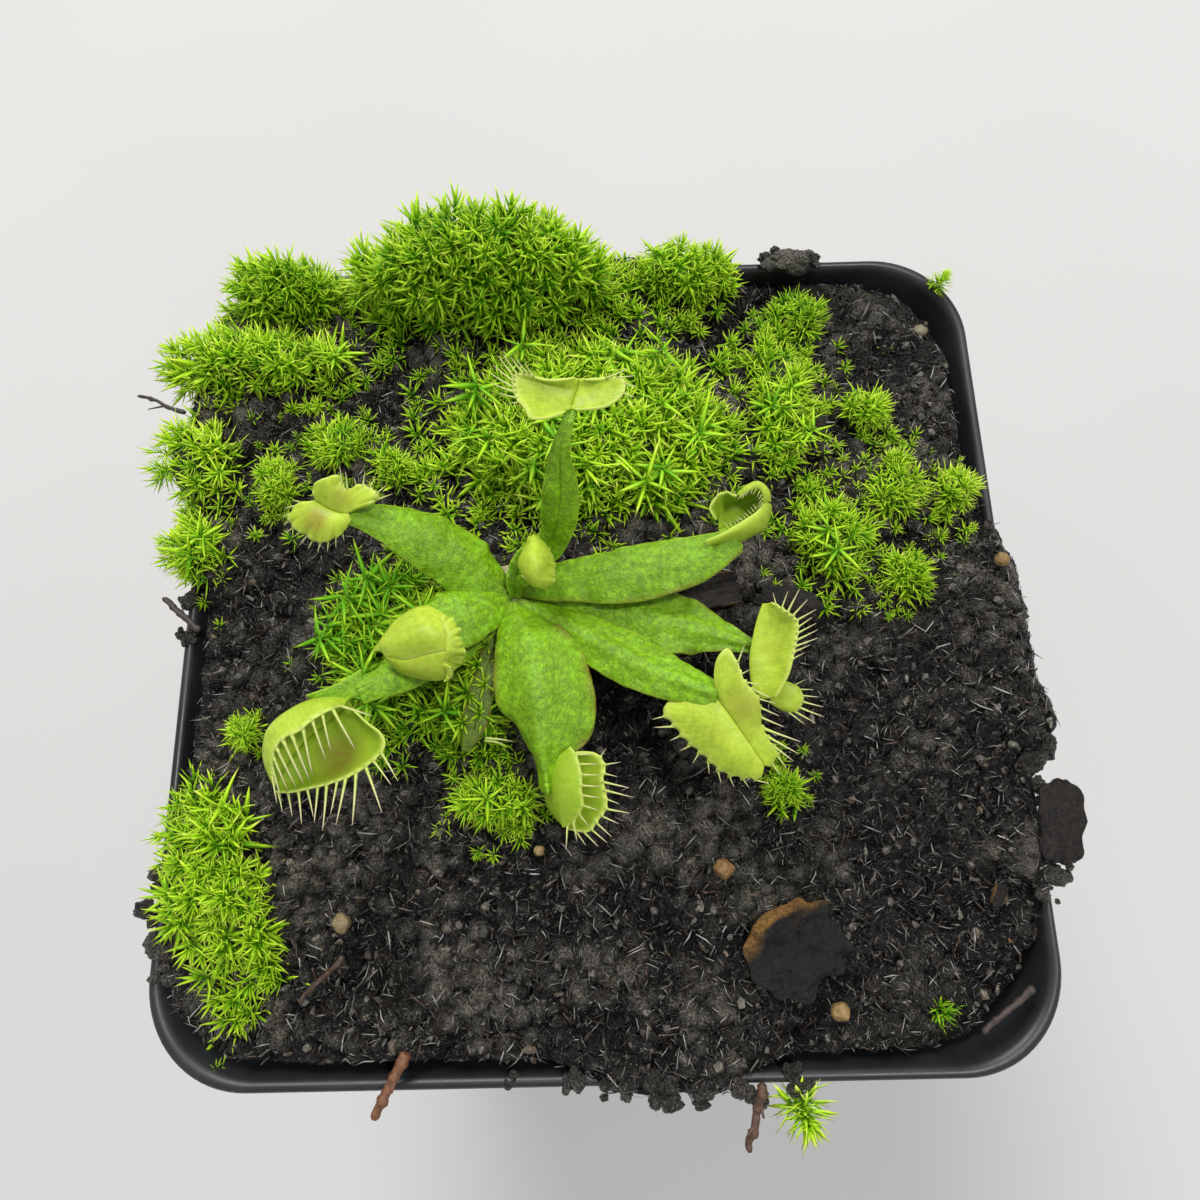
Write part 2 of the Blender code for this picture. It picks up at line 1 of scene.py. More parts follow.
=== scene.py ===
"""A potted Venus flytrap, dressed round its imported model: the black nursery pot, the wet peat with its
crumbs and fibres, the star moss, the ten leaves with their toothed traps, and the bark, twigs and grit.

Lengths in the tables and the helpers are in millimetres. Meshes are stored in metres."""

import json
import math
import random

import bmesh
import bpy
import numpy as np
from mathutils import Matrix, Vector, noise
from mathutils.bvhtree import BVHTree

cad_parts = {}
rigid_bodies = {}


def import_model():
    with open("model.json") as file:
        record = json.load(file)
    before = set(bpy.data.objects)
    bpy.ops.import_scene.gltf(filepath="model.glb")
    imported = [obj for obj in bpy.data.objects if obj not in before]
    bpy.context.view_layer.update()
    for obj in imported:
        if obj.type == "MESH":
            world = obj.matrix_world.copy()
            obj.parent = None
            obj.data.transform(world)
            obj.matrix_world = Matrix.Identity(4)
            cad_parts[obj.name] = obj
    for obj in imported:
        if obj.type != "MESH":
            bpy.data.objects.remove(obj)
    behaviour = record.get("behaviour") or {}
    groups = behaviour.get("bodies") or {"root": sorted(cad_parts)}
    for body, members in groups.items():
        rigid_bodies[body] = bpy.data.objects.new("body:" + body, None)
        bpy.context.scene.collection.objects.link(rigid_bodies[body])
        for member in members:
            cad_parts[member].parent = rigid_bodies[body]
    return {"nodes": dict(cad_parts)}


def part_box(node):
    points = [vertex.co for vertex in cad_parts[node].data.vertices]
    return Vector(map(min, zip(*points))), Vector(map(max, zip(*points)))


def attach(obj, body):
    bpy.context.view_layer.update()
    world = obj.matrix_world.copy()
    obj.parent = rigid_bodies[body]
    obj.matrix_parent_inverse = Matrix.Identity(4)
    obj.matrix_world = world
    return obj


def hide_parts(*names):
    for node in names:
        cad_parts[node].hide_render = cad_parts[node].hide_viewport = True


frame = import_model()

bl_info = {
    "name": "Potted Venus Flytrap",
    "version": (1, 0, 0),
    "blender": (4, 5, 0),
    "location": "3D View > Sidebar > Flytrap",
    "description": "Builds a potted Venus flytrap with peat, moss and debris",
    "category": "Add Mesh",
}

MM = 0.001
GOLDEN_TURN = 2.39996
UP = Vector((0, 0, 1))
# How high and how far out a line of sight to the plant starts.
SKY, WELL_OUTSIDE = 150, 90
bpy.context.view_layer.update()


# ---- Meshes ----


def make_mesh(name, points, faces, **attributes):
    """A mesh from points in millimetres. Each attribute is a float or a vector for every point."""
    mesh = bpy.data.meshes.new(name)
    mesh.from_pydata((np.asarray(points, float) * MM).tolist(), [], faces)
    for key, values in attributes.items():
        values = np.asarray(values, np.float32)
        kind = "FLOAT_VECTOR" if values.ndim == 2 else "FLOAT"
        layer = mesh.attributes.new(key, kind, "POINT")
        layer.data.foreach_set("vector" if values.ndim == 2 else "value", values.ravel())
    mesh.shade_smooth()
    return mesh


def make_object(name, mesh, finish=None):
    """An object at the origin, in a finish or in its mesh's own."""
    made = bpy.data.objects.new(name, mesh)
    if finish is not None:
        mesh.materials.clear()
        mesh.materials.append(finish)
    bpy.context.scene.collection.objects.link(made)
    return made


def face_outwards(mesh):
    """The mesh, with the faces of each of its closed shells turned outwards."""
    work = bmesh.new()
    work.from_mesh(mesh)
    bmesh.ops.recalc_face_normals(work, faces=work.faces)
    work.to_mesh(mesh)
    work.free()
    return mesh


def place_piece(name, mesh, finish, slot, *nodes):
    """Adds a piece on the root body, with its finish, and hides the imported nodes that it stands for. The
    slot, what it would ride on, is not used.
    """
    piece = make_object(name, mesh, finish)
    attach(piece, "root")
    if nodes:
        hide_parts(*nodes)


class Shell:
    """Collects points, faces and point values of several closed shells, for one mesh."""

    def __init__(self, *values):
        self.points, self.faces, self.marks = [], [], []
        self.values = {key: [] for key in values}

    def add(self, points, faces, mark=0, **values):
        start = len(self.points)
        self.points.extend([tuple(point) for point in points])
        self.faces.extend([tuple(start + i for i in face) for face in faces])
        self.marks.extend([mark] * len(faces))
        for key, kept in self.values.items():
            given = values.get(key, 0)
            kept.extend(given if isinstance(given, (list, tuple)) else [given] * len(points))

    def mesh(self, name, finishes):
        """The mesh of all the shells, each face in the finish that its mark names."""
        mesh = make_mesh(name, self.points, self.faces, **self.values)
        for finish in finishes:
            mesh.materials.append(finish)
        mesh.polygons.foreach_set("material_index", self.marks)
        return face_outwards(mesh)


def column(items, key, size=1, kind=np.int32):
    """One value of each item of a mesh, as a flat array."""
    values = np.empty(len(items) * size, kind)
    items.foreach_get(key, values)
    return values


def joined(name, parts, finishes, *values):
    """One mesh from several, keeping the named point values. Each part comes with its finish's number, or
    with None where its faces already hold one."""
    points, corners, starts, marks = [], [], [], []
    kept = {key: [] for key in values}
    first_point, first_corner = 0, 0
    for part, mark in parts:
        for key, given in kept.items():
            layer = part.attributes.get(key)
            given.append(
                column(layer.data, "value", kind=np.float32) if layer
                else np.zeros(len(part.vertices), np.float32)
            )
        points.append(column(part.vertices, "co", 3, np.float32))
        corners.append(column(part.loops, "vertex_index") + first_point)
        starts.append(column(part.polygons, "loop_start") + first_corner)
        marks.append(
            column(part.polygons, "material_index") if mark is None
            else np.full(len(part.polygons), mark, np.int32)
        )
        first_point += len(part.vertices)
        first_corner += len(part.loops)
    mesh = bpy.data.meshes.new(name)
    mesh.vertices.add(first_point)
    mesh.vertices.foreach_set("co", np.concatenate(points))
    mesh.loops.add(first_corner)
    mesh.loops.foreach_set("vertex_index", np.concatenate(corners))
    mesh.polygons.add(sum(len(start) for start in starts))
    mesh.polygons.foreach_set("loop_start", np.concatenate(starts))
    mesh.polygons.foreach_set("material_index", np.concatenate(marks))
    for key, given in kept.items():
        mesh.attributes.new(key, "FLOAT", "POINT").data.foreach_set("value", np.concatenate(given))
    for finish in finishes:
        mesh.materials.append(finish)
    mesh.update(calc_edges=True)
    mesh.shade_smooth()
    return mesh


def loft_faces(rows, count, closed=True):
    """Quads between rows of equally many points. A closed row runs round a ring."""
    faces = []
    for k in range(rows - 1):
        for i in range(count if closed else count - 1):
            j = (i + 1) % count
            faces.append((k * count + i, k * count + j, (k + 1) * count + j, (k + 1) * count + i))
    return faces


def strip(first, second):
    """Quads between two rings of numbered points."""
    count = len(first)
    return [(first[i], first[(i + 1) % count], second[(i + 1) % count], second[i]) for i in range(count)]


def fan(ring, tip):
    """Triangles from a ring of numbered points to one more."""
    return [(ring[i], ring[(i + 1) % len(ring)], tip) for i in range(len(ring))]


def border_of(rows, columns):
    """The numbers of a grid's outer points, in turn."""
    border = list(range(columns))
    border += [k * columns + columns - 1 for k in range(1, rows)]
    border += [(rows - 1) * columns + i for i in range(columns - 2, -1, -1)]
    border += [k * columns for k in range(rows - 2, 0, -1)]
    return border


def tube(path, radii, sides=6):
    """A closed round tube along a path, with a point at each end."""
    path = [Vector(point) for point in path]
    points = [path[0]]
    turn = Vector((0.3, 0.5, 1))
    for i, (centre, radius) in enumerate(zip(path, radii)):
        ahead = (path[min(i + 1, len(path) - 1)] - path[max(i - 1, 0)]).normalized()
        turn = (turn - ahead * turn.dot(ahead)).normalized()
        over = ahead.cross(turn)
        for k in range(sides):
            angle = 2 * math.pi * k / sides
            points.append(centre + (turn * math.cos(angle) + over * math.sin(angle)) * radius)
    points.append(path[-1])
    rows = len(path)
    faces = [tuple(1 + i for i in face) for face in loft_faces(rows, sides)]
    faces += fan(range(1, 1 + sides), 0)
    faces += fan(range(1 + (rows - 1) * sides, 1 + rows * sides), len(points) - 1)
    return points, faces


def smooth_line(knots, count):
    """Points along a smooth curve through the knots, by Catmull and Rom's rule."""
    knots = np.asarray(knots, float)
    last = len(knots) - 1
    line = []
    for i in range(count):
        at = min(i / (count - 1) * last, last - 1e-6)
        k = int(at)
        t = at - k
        a, b = knots[max(k - 1, 0)], knots[k]
        c, d = knots[k + 1], knots[min(k + 2, last)]
        bend, twist = 2 * a - 5 * b + 4 * c - d, 3 * b - a - 3 * c + d
        line.append(0.5 * (2 * b + (c - a) * t + bend * t**2 + twist * t**3))
    return np.array(line)


def heading(angle, z=0):
    """The direction at an angle seen from above."""
    return Vector((math.cos(angle), math.sin(angle), z))


def drawn(dice, *ranges):
    """A vector whose parts are drawn in turn from their ranges, or are plain numbers."""
    return Vector([dice.uniform(*each) if isinstance(each, tuple) else each for each in ranges])


def swell(x, y, z):
    """Smooth noise at one place."""
    return noise.noise(Vector((x, y, z)))


def lumpy(points, seed, coarse, amount):
    """Pushes points in and out by noise, for a natural lump."""
    moved = []
    for point in points:
        place = Vector(point)
        rise = noise.noise(place / coarse + Vector((seed, 0, 0)))
        rise += 0.5 * noise.noise(place / (0.4 * coarse) + Vector((0, seed, 0)))
        moved.append(place * (1 + amount * rise))
    return moved


def ball(subdivisions):
    """The points and faces of an icosphere of radius 1."""
    work = bmesh.new()
    bmesh.ops.create_icosphere(work, subdivisions=subdivisions, radius=1)
    points = [vertex.co.copy() for vertex in work.verts]
    faces = [tuple(vertex.index for vertex in face.verts) for face in work.faces]
    work.free()
    return points, faces


def solid_tree(*names):
    """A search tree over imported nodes, in millimetres."""
    points, faces = [], []
    for name in names:
        mesh = frame["nodes"][name].data
        start = len(points)
        points.extend(vertex.co / MM for vertex in mesh.vertices)
        faces.extend([start + i for i in face.vertices] for face in mesh.polygons)
    return BVHTree.FromPolygons(points, faces)


def top_of(tree, x, y):
    """The height and the normal of the surface under the sky at one place, or None."""
    place, normal, _, _ = tree.ray_cast(Vector((x, y, SKY)), -UP)
    if place is None:
        return None
    return place.z, (normal if normal.z > 0 else -normal)


def reach_of(tree, angle, z):
    """How far the solid reaches from the middle in one direction at one height, or 0."""
    out = heading(angle)
    place = tree.ray_cast(out * WELL_OUTSIDE + UP * z, -out)[0]
    return Vector((place.x, place.y)).length if place else 0


def span(node):
    """The lowest corner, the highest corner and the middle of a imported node, in millimetres."""
    low, high = (Vector(corner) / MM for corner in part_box(node))
    return low, high, (low + high) / 2


# ---- Node trees ----


class Wiring:
    """Adds nodes to a tree. Inputs are given by name or number, as a value or as another node's socket."""

    def __init__(self, tree):
        self.tree = tree

    def feed(self, socket, value):
        """Links a socket to another one, or sets its value. A colour is given without its alpha."""
        if isinstance(value, bpy.types.NodeSocket):
            self.tree.links.new(value, socket)
        else:
            socket.default_value = (*value, 1) if socket.type == "RGBA" else value

    def add(self, kind, inputs=None, **settings):
        """A new node's outputs."""
        node = self.tree.nodes.new(kind)
        for key, value in settings.items():
            setattr(node, key, value)
        for key, value in (inputs or {}).items():
            self.feed(node.inputs[key], value)
        return node.outputs

    def math(self, operation, *values):
        return self.add("ShaderNodeMath", dict(enumerate(values)), operation=operation)[0]

    def plus(self, first, second):
        return self.math("ADD", first, second)

    def times(self, first, second):
        return self.math("MULTIPLY", first, second)

    def weighed(self, *terms):
        """The sum of values that are each given with a weight."""
        total, *others = [self.times(value, weight) for value, weight in terms]
        for other in others:
            total = self.plus(total, other)
        return total


class Finish(Wiring):
    """A material made of nodes round one Principled shader."""

    def __init__(self, name):
        self.material = bpy.data.materials.new(name)
        self.material.use_nodes = True
        super().__init__(self.material.node_tree)
        self.shader = self.tree.nodes["Principled BSDF"]

    def pattern(self, kind, size, **inputs):
        """A texture whose features are about this many millimetres across."""
        place = self.add("ShaderNodeTexCoord")["Object"]
        return self.add(kind, {"Vector": place, "Scale": 1 / (size * MM), **inputs})

    def noise(self, size, detail=4, roughness=0.6, distortion=0):
        inputs = {"Detail": detail, "Roughness": roughness, "Distortion": distortion}
        return self.pattern("ShaderNodeTexNoise", size, **inputs)["Fac"]

    def cells(self, size):
        return self.pattern("ShaderNodeTexVoronoi", size)["Distance"]

    def value(self, name):
        return self.add("ShaderNodeAttribute", attribute_name=name)["Fac"]

    def ramp(self, factor, *stops):
        """Colours or plain values by their places, blended between them."""
        colour_out = self.add("ShaderNodeValToRGB", {"Fac": factor})["Color"]
        elements = colour_out.node.color_ramp.elements
        while len(elements) < len(stops):
            elements.new(0.5)
        for element, (position, colour) in zip(elements, stops):
            element.position = position
            element.color = (*(colour if isinstance(colour, tuple) else (colour,) * 3), 1)
        return colour_out

    def blend(self, factor, first, second, kind="MIX"):
        inputs = {0: factor, 6: first, 7: second}
        return self.add("ShaderNodeMix", inputs, data_type="RGBA", blend_type=kind)[2]

    def bump(self, height, strength, distance):
        inputs = {"Height": height, "Strength": strength, "Distance": distance * MM}
        return self.add("ShaderNodeBump", inputs)["Normal"]

    def set(self, **inputs):
        """Sets or links the shader's own inputs, by their names with underscores for spaces."""
        for key, value in inputs.items():
            self.feed(self.shader.inputs[key.replace("_", " ")], value)
        return self.material


class Growth(Wiring):
    """A Geometry Nodes tree with named inputs, which ends in a mesh that has its finish."""

    def __init__(self, name, *sockets):
        super().__init__(bpy.data.node_groups.new(name, "GeometryNodeTree"))
        for label, kind in (("Geometry", "Geometry"), *sockets):
            self.tree.interface.new_socket(name=label, in_out="INPUT", socket_type="NodeSocket" + kind)
        self.tree.interface.new_socket(name="Geometry", in_out="OUTPUT", socket_type="NodeSocketGeometry")
        self.entry = self.add("NodeGroupInput")

    def named(self, name, kind="FLOAT"):
        """A value that the points hold."""
        return self.add("GeometryNodeInputNamedAttribute", {"Name": name}, data_type=kind)[0]

    def chance(self, low, high, salt):
        """A random number between two others, drawn anew for each point and each salt."""
        node = self.tree.nodes.new("FunctionNodeRandomValue")
        sockets = {socket.name: socket for socket in node.inputs if socket.enabled}
        self.feed(sockets["Min"], low)
        self.feed(sockets["Max"], high)
        self.feed(sockets["Seed"], self.plus(self.entry["Seed"], salt))
        return next(socket for socket in node.outputs if socket.enabled)

    def xyz(self, x, y, z):
        return self.add("ShaderNodeCombineXYZ", {0: x, 1: y, 2: z})[0]

    def turn(self, axes, first, second):
        """The turn that brings two of a shape's axes to two directions."""
        return self.add(
            "FunctionNodeAxesToRotation", {"Primary Axis": first, "Secondary Axis": second},
            primary_axis=axes[0], secondary_axis=axes[1],
        )[0]

    def tinted(self, points, tint):
        inputs = {"Geometry": points, "Name": "tint", "Value": tint}
        return self.add("GeometryNodeStoreNamedAttribute", inputs)[0]

    def shapes(self, collection):
        """The separate shapes of a collection."""
        return self.add("GeometryNodeCollectionInfo", {
            "Collection": collection, "Separate Children": True, "Reset Children": True,
        })[0]

    def close(self, points, shapes, pick, turn, scale):
        """Ends the tree: a shape stands on each point, and all of them become one mesh."""
        made = self.add("GeometryNodeInstanceOnPoints", {
            "Points": points, "Instance": shapes, "Pick Instance": pick, "Rotation": turn, "Scale": scale,
        })[0]
        made = self.add("GeometryNodeRealizeInstances", {"Geometry": made})[0]
        finished = {"Geometry": made, "Material": self.entry["Finish"]}
        self.add("NodeGroupOutput", {"Geometry": self.add("GeometryNodeSetMaterial", finished)[0]})
        return self.tree


def whorl_tree():
    """Grows a whorl of leaves round each vertex, which holds the shoot's axis, size, turn and tint."""
    w = Growth(
        "Moss whorls", ("Leaf shapes", "Collection"), ("Leaves on a shoot", "Int"),
        ("Stem length", "Float"), ("Widest spread", "Float"), ("Seed", "Int"), ("Finish", "Material"),
    )
    leaves = w.entry["Leaves on a shoot"]
    amount = {"Geometry": w.entry["Geometry"], "Amount": leaves}
    copies = w.add("GeometryNodeDuplicateElements", amount)
    order = copies["Duplicate Index"]
    share = w.math("DIVIDE", order, w.math("SUBTRACT", leaves, 1))
    axis, size = w.named("axis", "FLOAT_VECTOR"), w.named("size")
    around = w.plus(w.plus(w.times(order, GOLDEN_TURN), w.named("turn")), w.chance(-0.25, 0.25, 1))
    spread = w.times(w.math("POWER", share, 0.62), w.entry["Widest spread"])
    spread = w.plus(w.plus(spread, 0.12), w.chance(-0.12, 0.18, 2))
    flat = w.math("SINE", spread)
    aim = w.xyz(
        w.times(flat, w.math("COSINE", around)), w.times(flat, w.math("SINE", around)),
        w.math("COSINE", spread),
    )
    stand = w.turn("ZX", axis, (1, 0, 0))
    aim = w.add("FunctionNodeRotateVector", {"Vector": aim, "Rotation": stand})[0]
    drop = w.times(w.times(w.times(share, size), w.entry["Stem length"]), -1)
    offset = w.add("ShaderNodeVectorMath", {0: axis, "Scale": drop}, operation="SCALE")[0]
    lowered = {"Geometry": copies["Geometry"], "Offset": offset}
    points = w.add("GeometryNodeSetPosition", lowered)[0]
    points = w.tinted(points, w.plus(w.named("tint"), w.chance(-0.2, 0.2, 3)))
    length = w.times(w.times(w.plus(w.times(share, 0.42), 0.58), size), w.chance(0.8, 1.12, 4))
    return w.close(points, w.shapes(w.entry["Leaf shapes"]), True, w.turn("YZ", aim, axis), length)


def litter_tree():
    """Strews shapes over a surface, each turned at random and tilted a little."""
    w = Growth(
        "Litter", ("Shapes", "Collection"), ("Pieces per square metre", "Float"), ("Smallest", "Float"),
        ("Largest", "Float"), ("Tilt", "Float"), ("Seed", "Int"), ("Finish", "Material"),
    )
    entry = w.entry
    strewn = w.add("GeometryNodeDistributePointsOnFaces", {
        "Mesh": entry["Geometry"], "Density": entry["Pieces per square metre"], "Seed": entry["Seed"],
    })
    tilts = [w.times(w.chance(-1, 1, salt), entry["Tilt"]) for salt in (1, 2)]
    spin = w.xyz(*tilts, w.chance(0, 2 * math.pi, 3))
    spin = w.add("FunctionNodeEulerToRotation", {0: spin})[0]
    turns = {"Rotation": strewn["Rotation"], "Rotate By": spin}
    turned = w.add("FunctionNodeRotateRotation", turns, rotation_space="LOCAL")[0]
    points = w.tinted(strewn["Points"], w.chance(0, 1, 4))
    share = w.math("POWER", w.chance(0, 1, 5), 2.5)
    reach = w.math("SUBTRACT", entry["Largest"], entry["Smallest"])
    size = w.plus(w.times(share, reach), entry["Smallest"])
    return w.close(points, w.shapes(entry["Shapes"]), True, turned, size)


def teeth_tree():
    """Sets a tooth at each vertex, which holds the way it points, the way it curls, and its length."""
    w = Growth("Trap teeth", ("Tooth", "Object"), ("Stoutness", "Float"), ("Finish", "Material"))
    turn = w.turn("YZ", w.named("aim", "FLOAT_VECTOR"), w.named("curl", "FLOAT_VECTOR"))
    size = w.named("size")
    broad = w.times(w.math("POWER", size, 0.5), w.entry["Stoutness"])
    shape = w.add("GeometryNodeObjectInfo", {"Object": w.entry["Tooth"], "As Instance": True})["Geometry"]
    return w.close(w.entry["Geometry"], shape, False, turn, w.xyz(broad, size, broad))


def grown(seeds, tree, values):
    """The plain mesh that a tree grows from an object, which is then removed."""
    modifier = seeds.modifiers.new("Growth", "NODES")
    modifier.node_group = tree
    for item in tree.interface.items_tree:
        if item.in_out == "INPUT" and item.name in values:
            modifier[item.identifier] = values[item.name]
    graph = bpy.context.evaluated_depsgraph_get()
    mesh = bpy.data.meshes.new_from_object(seeds.evaluated_get(graph), depsgraph=graph)
    bpy.data.objects.remove(seeds)
    return mesh


def shape_collection(name, meshes):
    """A collection of shapes to strew. Its objects stand in no scene."""
    shapes = bpy.data.collections.new(name)
    for mesh in meshes:
        shapes.objects.link(bpy.data.objects.new(mesh.name, mesh))
    return shapes


def drop_collection(shapes):
    """Removes a collection of shapes that have been strewn."""
    for thing in list(shapes.objects):
        bpy.data.objects.remove(thing)
    bpy.data.collections.remove(shapes)


# ---- Settings ----


def length(label, text, default):
    return bpy.props.FloatProperty(
        name=label, description=text, default=default, unit="LENGTH", precision=5
    )


def number(label, text, default):
    return bpy.props.FloatProperty(name=label, description=text, default=default, min=0)


def colour(label, text, default):
    return bpy.props.FloatVectorProperty(
        name=label, description=text, default=default, size=3, min=0, max=1, subtype="COLOR"
    )


class PotSettings(bpy.types.PropertyGroup):
    wall: length("Wall", "Thickness of the pot's wall", 0.9 * MM)
    plastic: colour("Plastic", "Colour of the pot's plastic", (0.012, 0.013, 0.015))


class PeatSettings(bpy.types.PropertyGroup):
    lump: length("Lump height", "How far lumps stand over the peat's general level", 1.7 * MM)
    crumbs: number("Crumbs", "Crumbs on each square millimetre", 0.66)
    fibres: number("Fibres", "Fibres of each kind on each square millimetre", 1.3)
    # Besides their own tones, in the bed these colours carry painted shade: the dark one in its cracks and
    # hollows, the dry one on its lump tops.
    dark: colour("Dark peat", "Colour of the wettest peat", (0.007, 0.0065, 0.006))
    pale: colour("Dry peat", "Colour of the driest peat", (0.24, 0.22, 0.175))
    fibre: colour("Fibre", "Colour of the palest fibres", (0.24, 0.22, 0.19))


class MossSettings(bpy.types.PropertyGroup):
    leaf: length("Leaf length", "Length of a shoot's longest leaf", 3.8 * MM)
    leaves: bpy.props.IntProperty(name="Leaves", description="Leaves on a shoot", default=21, min=3)
    spacing: length("Spacing", "Distance between shoots in a cushion", 1.6 * MM)
    young: colour("Young leaf", "Colour of the leaves' tips", (0.54, 0.87, 0.022))
    old: colour("Old leaf", "Colour of the leaves' bases", (0.13, 0.41, 0.005))


class LeafSettings(bpy.types.PropertyGroup):
    blade: colour("Blade", "Colour of a leaf's blade", (0.172, 0.345, 0.006))
    margin: colour("Margin", "Colour of a blade's thin edge", (0.34, 0.52, 0.03))
    trap: colour("Trap", "Colour of a trap's outer side", (0.46, 0.60, 0.045))
    tooth: number("Tooth stoutness", "How stout the traps' teeth are", 1)


class StageSettings(bpy.types.PropertyGroup):
    lens: number("Lens", "Focal length in millimetres", 24)
    light: number("Light", "Strength of the soft lamps", 2)
    ground: colour("Ground", "Colour of the floor", (0.585, 0.575, 0.56))


# ---- Stage ----

CAMERA_PLACE = (1.2, -18.7, 165.1)
CAMERA_YAW, CAMERA_PITCH, CAMERA_ROLL = 1.7, 14.2, -3.1
FLOOR_HALF = 3000
FLOOR_LEVEL = -0.2
AIM = Vector((0, 0, 60))
SKY_COLOUR, SKY_STRENGTH = (0.93, 0.96, 1, 1), 0.46
# The soft lamps: place, size, share of the power, and colour.
LAMPS = {
    "window_lamp": ((-300, 900, 1000), 620, 6.4, (1, 0.99, 0.97)),
    "overhead_lamp": ((320, 60, 1050), 150, 2.7, (1, 1, 1)),
}


class FLYTRAP_OT_stage(bpy.types.Operator):
    """Builds the floor, the soft lamps and the camera"""

    bl_idname = "flytrap.stage"
    bl_label = "Stage"

    def execute(self, context):
        scene, settings = context.scene, context.scene.flytrap_stage
        camera = bpy.data.objects.new("camera", bpy.data.cameras.new("camera"))
        camera.data.lens = settings.lens
        camera.data.sensor_width = 36
        camera.data.clip_start = 0.01
        turn = Matrix.Rotation(math.radians(CAMERA_YAW), 4, "Z")
        turn @= Matrix.Rotation(math.radians(CAMERA_PITCH), 4, "X")
        turn @= Matrix.Rotation(math.radians(CAMERA_ROLL), 4, "Z")
        camera.matrix_world = Matrix.Translation(Vector(CAMERA_PLACE) * MM) @ turn
        scene.collection.objects.link(camera)
        scene.camera = camera

        paper = Finish("floor_paper")
        shade = paper.noise(180, 2)
        ground = tuple(settings.ground)
        darker = tuple(0.95 * part for part in ground)
        paper.set(Base_Color=paper.ramp(shade, (0.3, darker), (0.7, ground)), Roughness=0.9)
        signs = ((-1, -1), (1, -1), (1, 1), (-1, 1))
        corners = [(x * FLOOR_HALF, y * FLOOR_HALF, FLOOR_LEVEL) for x, y in signs]
        floor = make_object("floor", make_mesh("floor", corners, [(0, 1, 2, 3)]), paper.material)

        world = bpy.data.worlds.new("studio")
        world.use_nodes = True
        back = world.node_tree.nodes["Background"]
        back.inputs["Color"].default_value = SKY_COLOUR
        back.inputs["Strength"].default_value = SKY_STRENGTH
        scene.world = world
        for name, (place, size, share, tone) in LAMPS.items():
            lamp = bpy.data.lights.new(name, "AREA")
            lamp.shape = "DISK"
            lamp.size = size * MM
            lamp.energy = settings.light * share
            lamp.color = tone
            stand = bpy.data.objects.new(name, lamp)
            aim = (AIM - Vector(place)).to_track_quat("-Z", "Y").to_matrix().to_4x4()
            stand.matrix_world = Matrix.Translation(Vector(place) * MM) @ aim
            scene.collection.objects.link(stand)
        scene.view_settings.view_transform = "Standard"
        return {"FINISHED"}


# ---- Pot ----

CORNER_STEPS = 18
SIDE_STEPS = 12
POT_CORNER = 10.5
CORNER_TAPER = 0.2
# The wall's outer side from the foot up: how far in from the rim, and height.
OUTER_SIDE = (
    (14.4, 0), (13.2, 0.25), (12.5, 0.9), (12.25, 1.6), (9.3, 24), (6.4, 47), (3.5, 69),
    (3.35, 69.7), (2.6, 70.3), (2.1, 70.9), (1.5, 74), (0.9, 77.6), (0.75, 78.3), (0.25, 78.7),
    (0, 79.1), (0.02, 79.6), (0.25, 79.9),
)
# And its inner side, from the rim down.
INNER_SIDE = (
    (0.85, 79.9), (1.15, 79.5), (1.3, 78.8), (1.6, 77.8), (3, 70.9), (3.6, 70.3), (4.3, 69.4),
    (4.4, 69), (7.3, 47), (10.2, 24), (13.1, 2.2),
)
HOLE_RADIUS = 3.4
FOOT_HOLES = [(x, y) for x in (-23, 0, 23) for y in (-23, 0, 23) if x or y]


def pot_ring(half, z):
    """One ring of the pot: a square with round corners."""
    corner = POT_CORNER - (45 - half) * CORNER_TAPER
    ring = []
    for quarter in range(4):
        turn = math.radians(90 * quarter)
        cos, sin = math.cos(turn), math.sin(turn)
        local = []
        for step in range(SIDE_STEPS):
            local.append((half, (half - corner) * (2 * step / SIDE_STEPS - 1)))
        for step in range(CORNER_STEPS):
            angle = math.pi / 2 * step / CORNER_STEPS
            local.append([half - corner + corner * share for share in (math.cos(angle), math.sin(angle))])
        ring.extend((x * cos - y * sin, x * sin + y * cos, z) for x, y in local)
    return ring


class FLYTRAP_OT_pot(bpy.types.Operator):
    """Builds the moulded square pot"""

    bl_idname = "flytrap.pot"
    bl_label = "Pot"

    def execute(self, context):
        settings = context.scene.flytrap_pot
        half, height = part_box("pot")[1][0] / MM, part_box("pot")[1][2] / MM
        side = (*OUTER_SIDE, (0.5, height), *INNER_SIDE, (14.3, settings.wall / MM))
        rings = [pot_ring(half - inset, z) for inset, z in side]
        count = len(rings[0])
        points = [point for ring in rings for point in ring]
        faces = loft_faces(len(rings), count)
        faces.append(tuple(reversed(range(count))))
        last = (len(rings) - 1) * count
        faces.append(tuple(range(last, last + count)))
        mesh = face_outwards(make_mesh("pot_shell", points, faces))
        work = bmesh.new()
        for x, y in FOOT_HOLES:
            bmesh.ops.create_cone(
                work, cap_ends=True, segments=32, radius1=HOLE_RADIUS * MM, radius2=HOLE_RADIUS * MM,
                depth=8 * MM, matrix=Matrix.Translation(Vector((x, y, 0)) * MM),
            )
        punch_mesh = bpy.data.meshes.new("punch")
        work.to_mesh(punch_mesh)
        work.free()
        punch = make_object("punch", punch_mesh)
        shell = make_object("pot_shell", mesh)
        cut = shell.modifiers.new("Drainage", "BOOLEAN")
        cut.object = punch
        cut.solver = "EXACT"
        graph = context.evaluated_depsgraph_get()
        whole = bpy.data.meshes.new_from_object(shell.evaluated_get(graph), depsgraph=graph)
        bpy.data.objects.remove(shell)
        bpy.data.objects.remove(punch)
        whole.shade_smooth()
        whole.set_sharp_from_angle(angle=math.radians(40))
        place_piece("nursery_pot", whole, pot_plastic(settings), "pot", "pot")
        return {"FINISHED"}


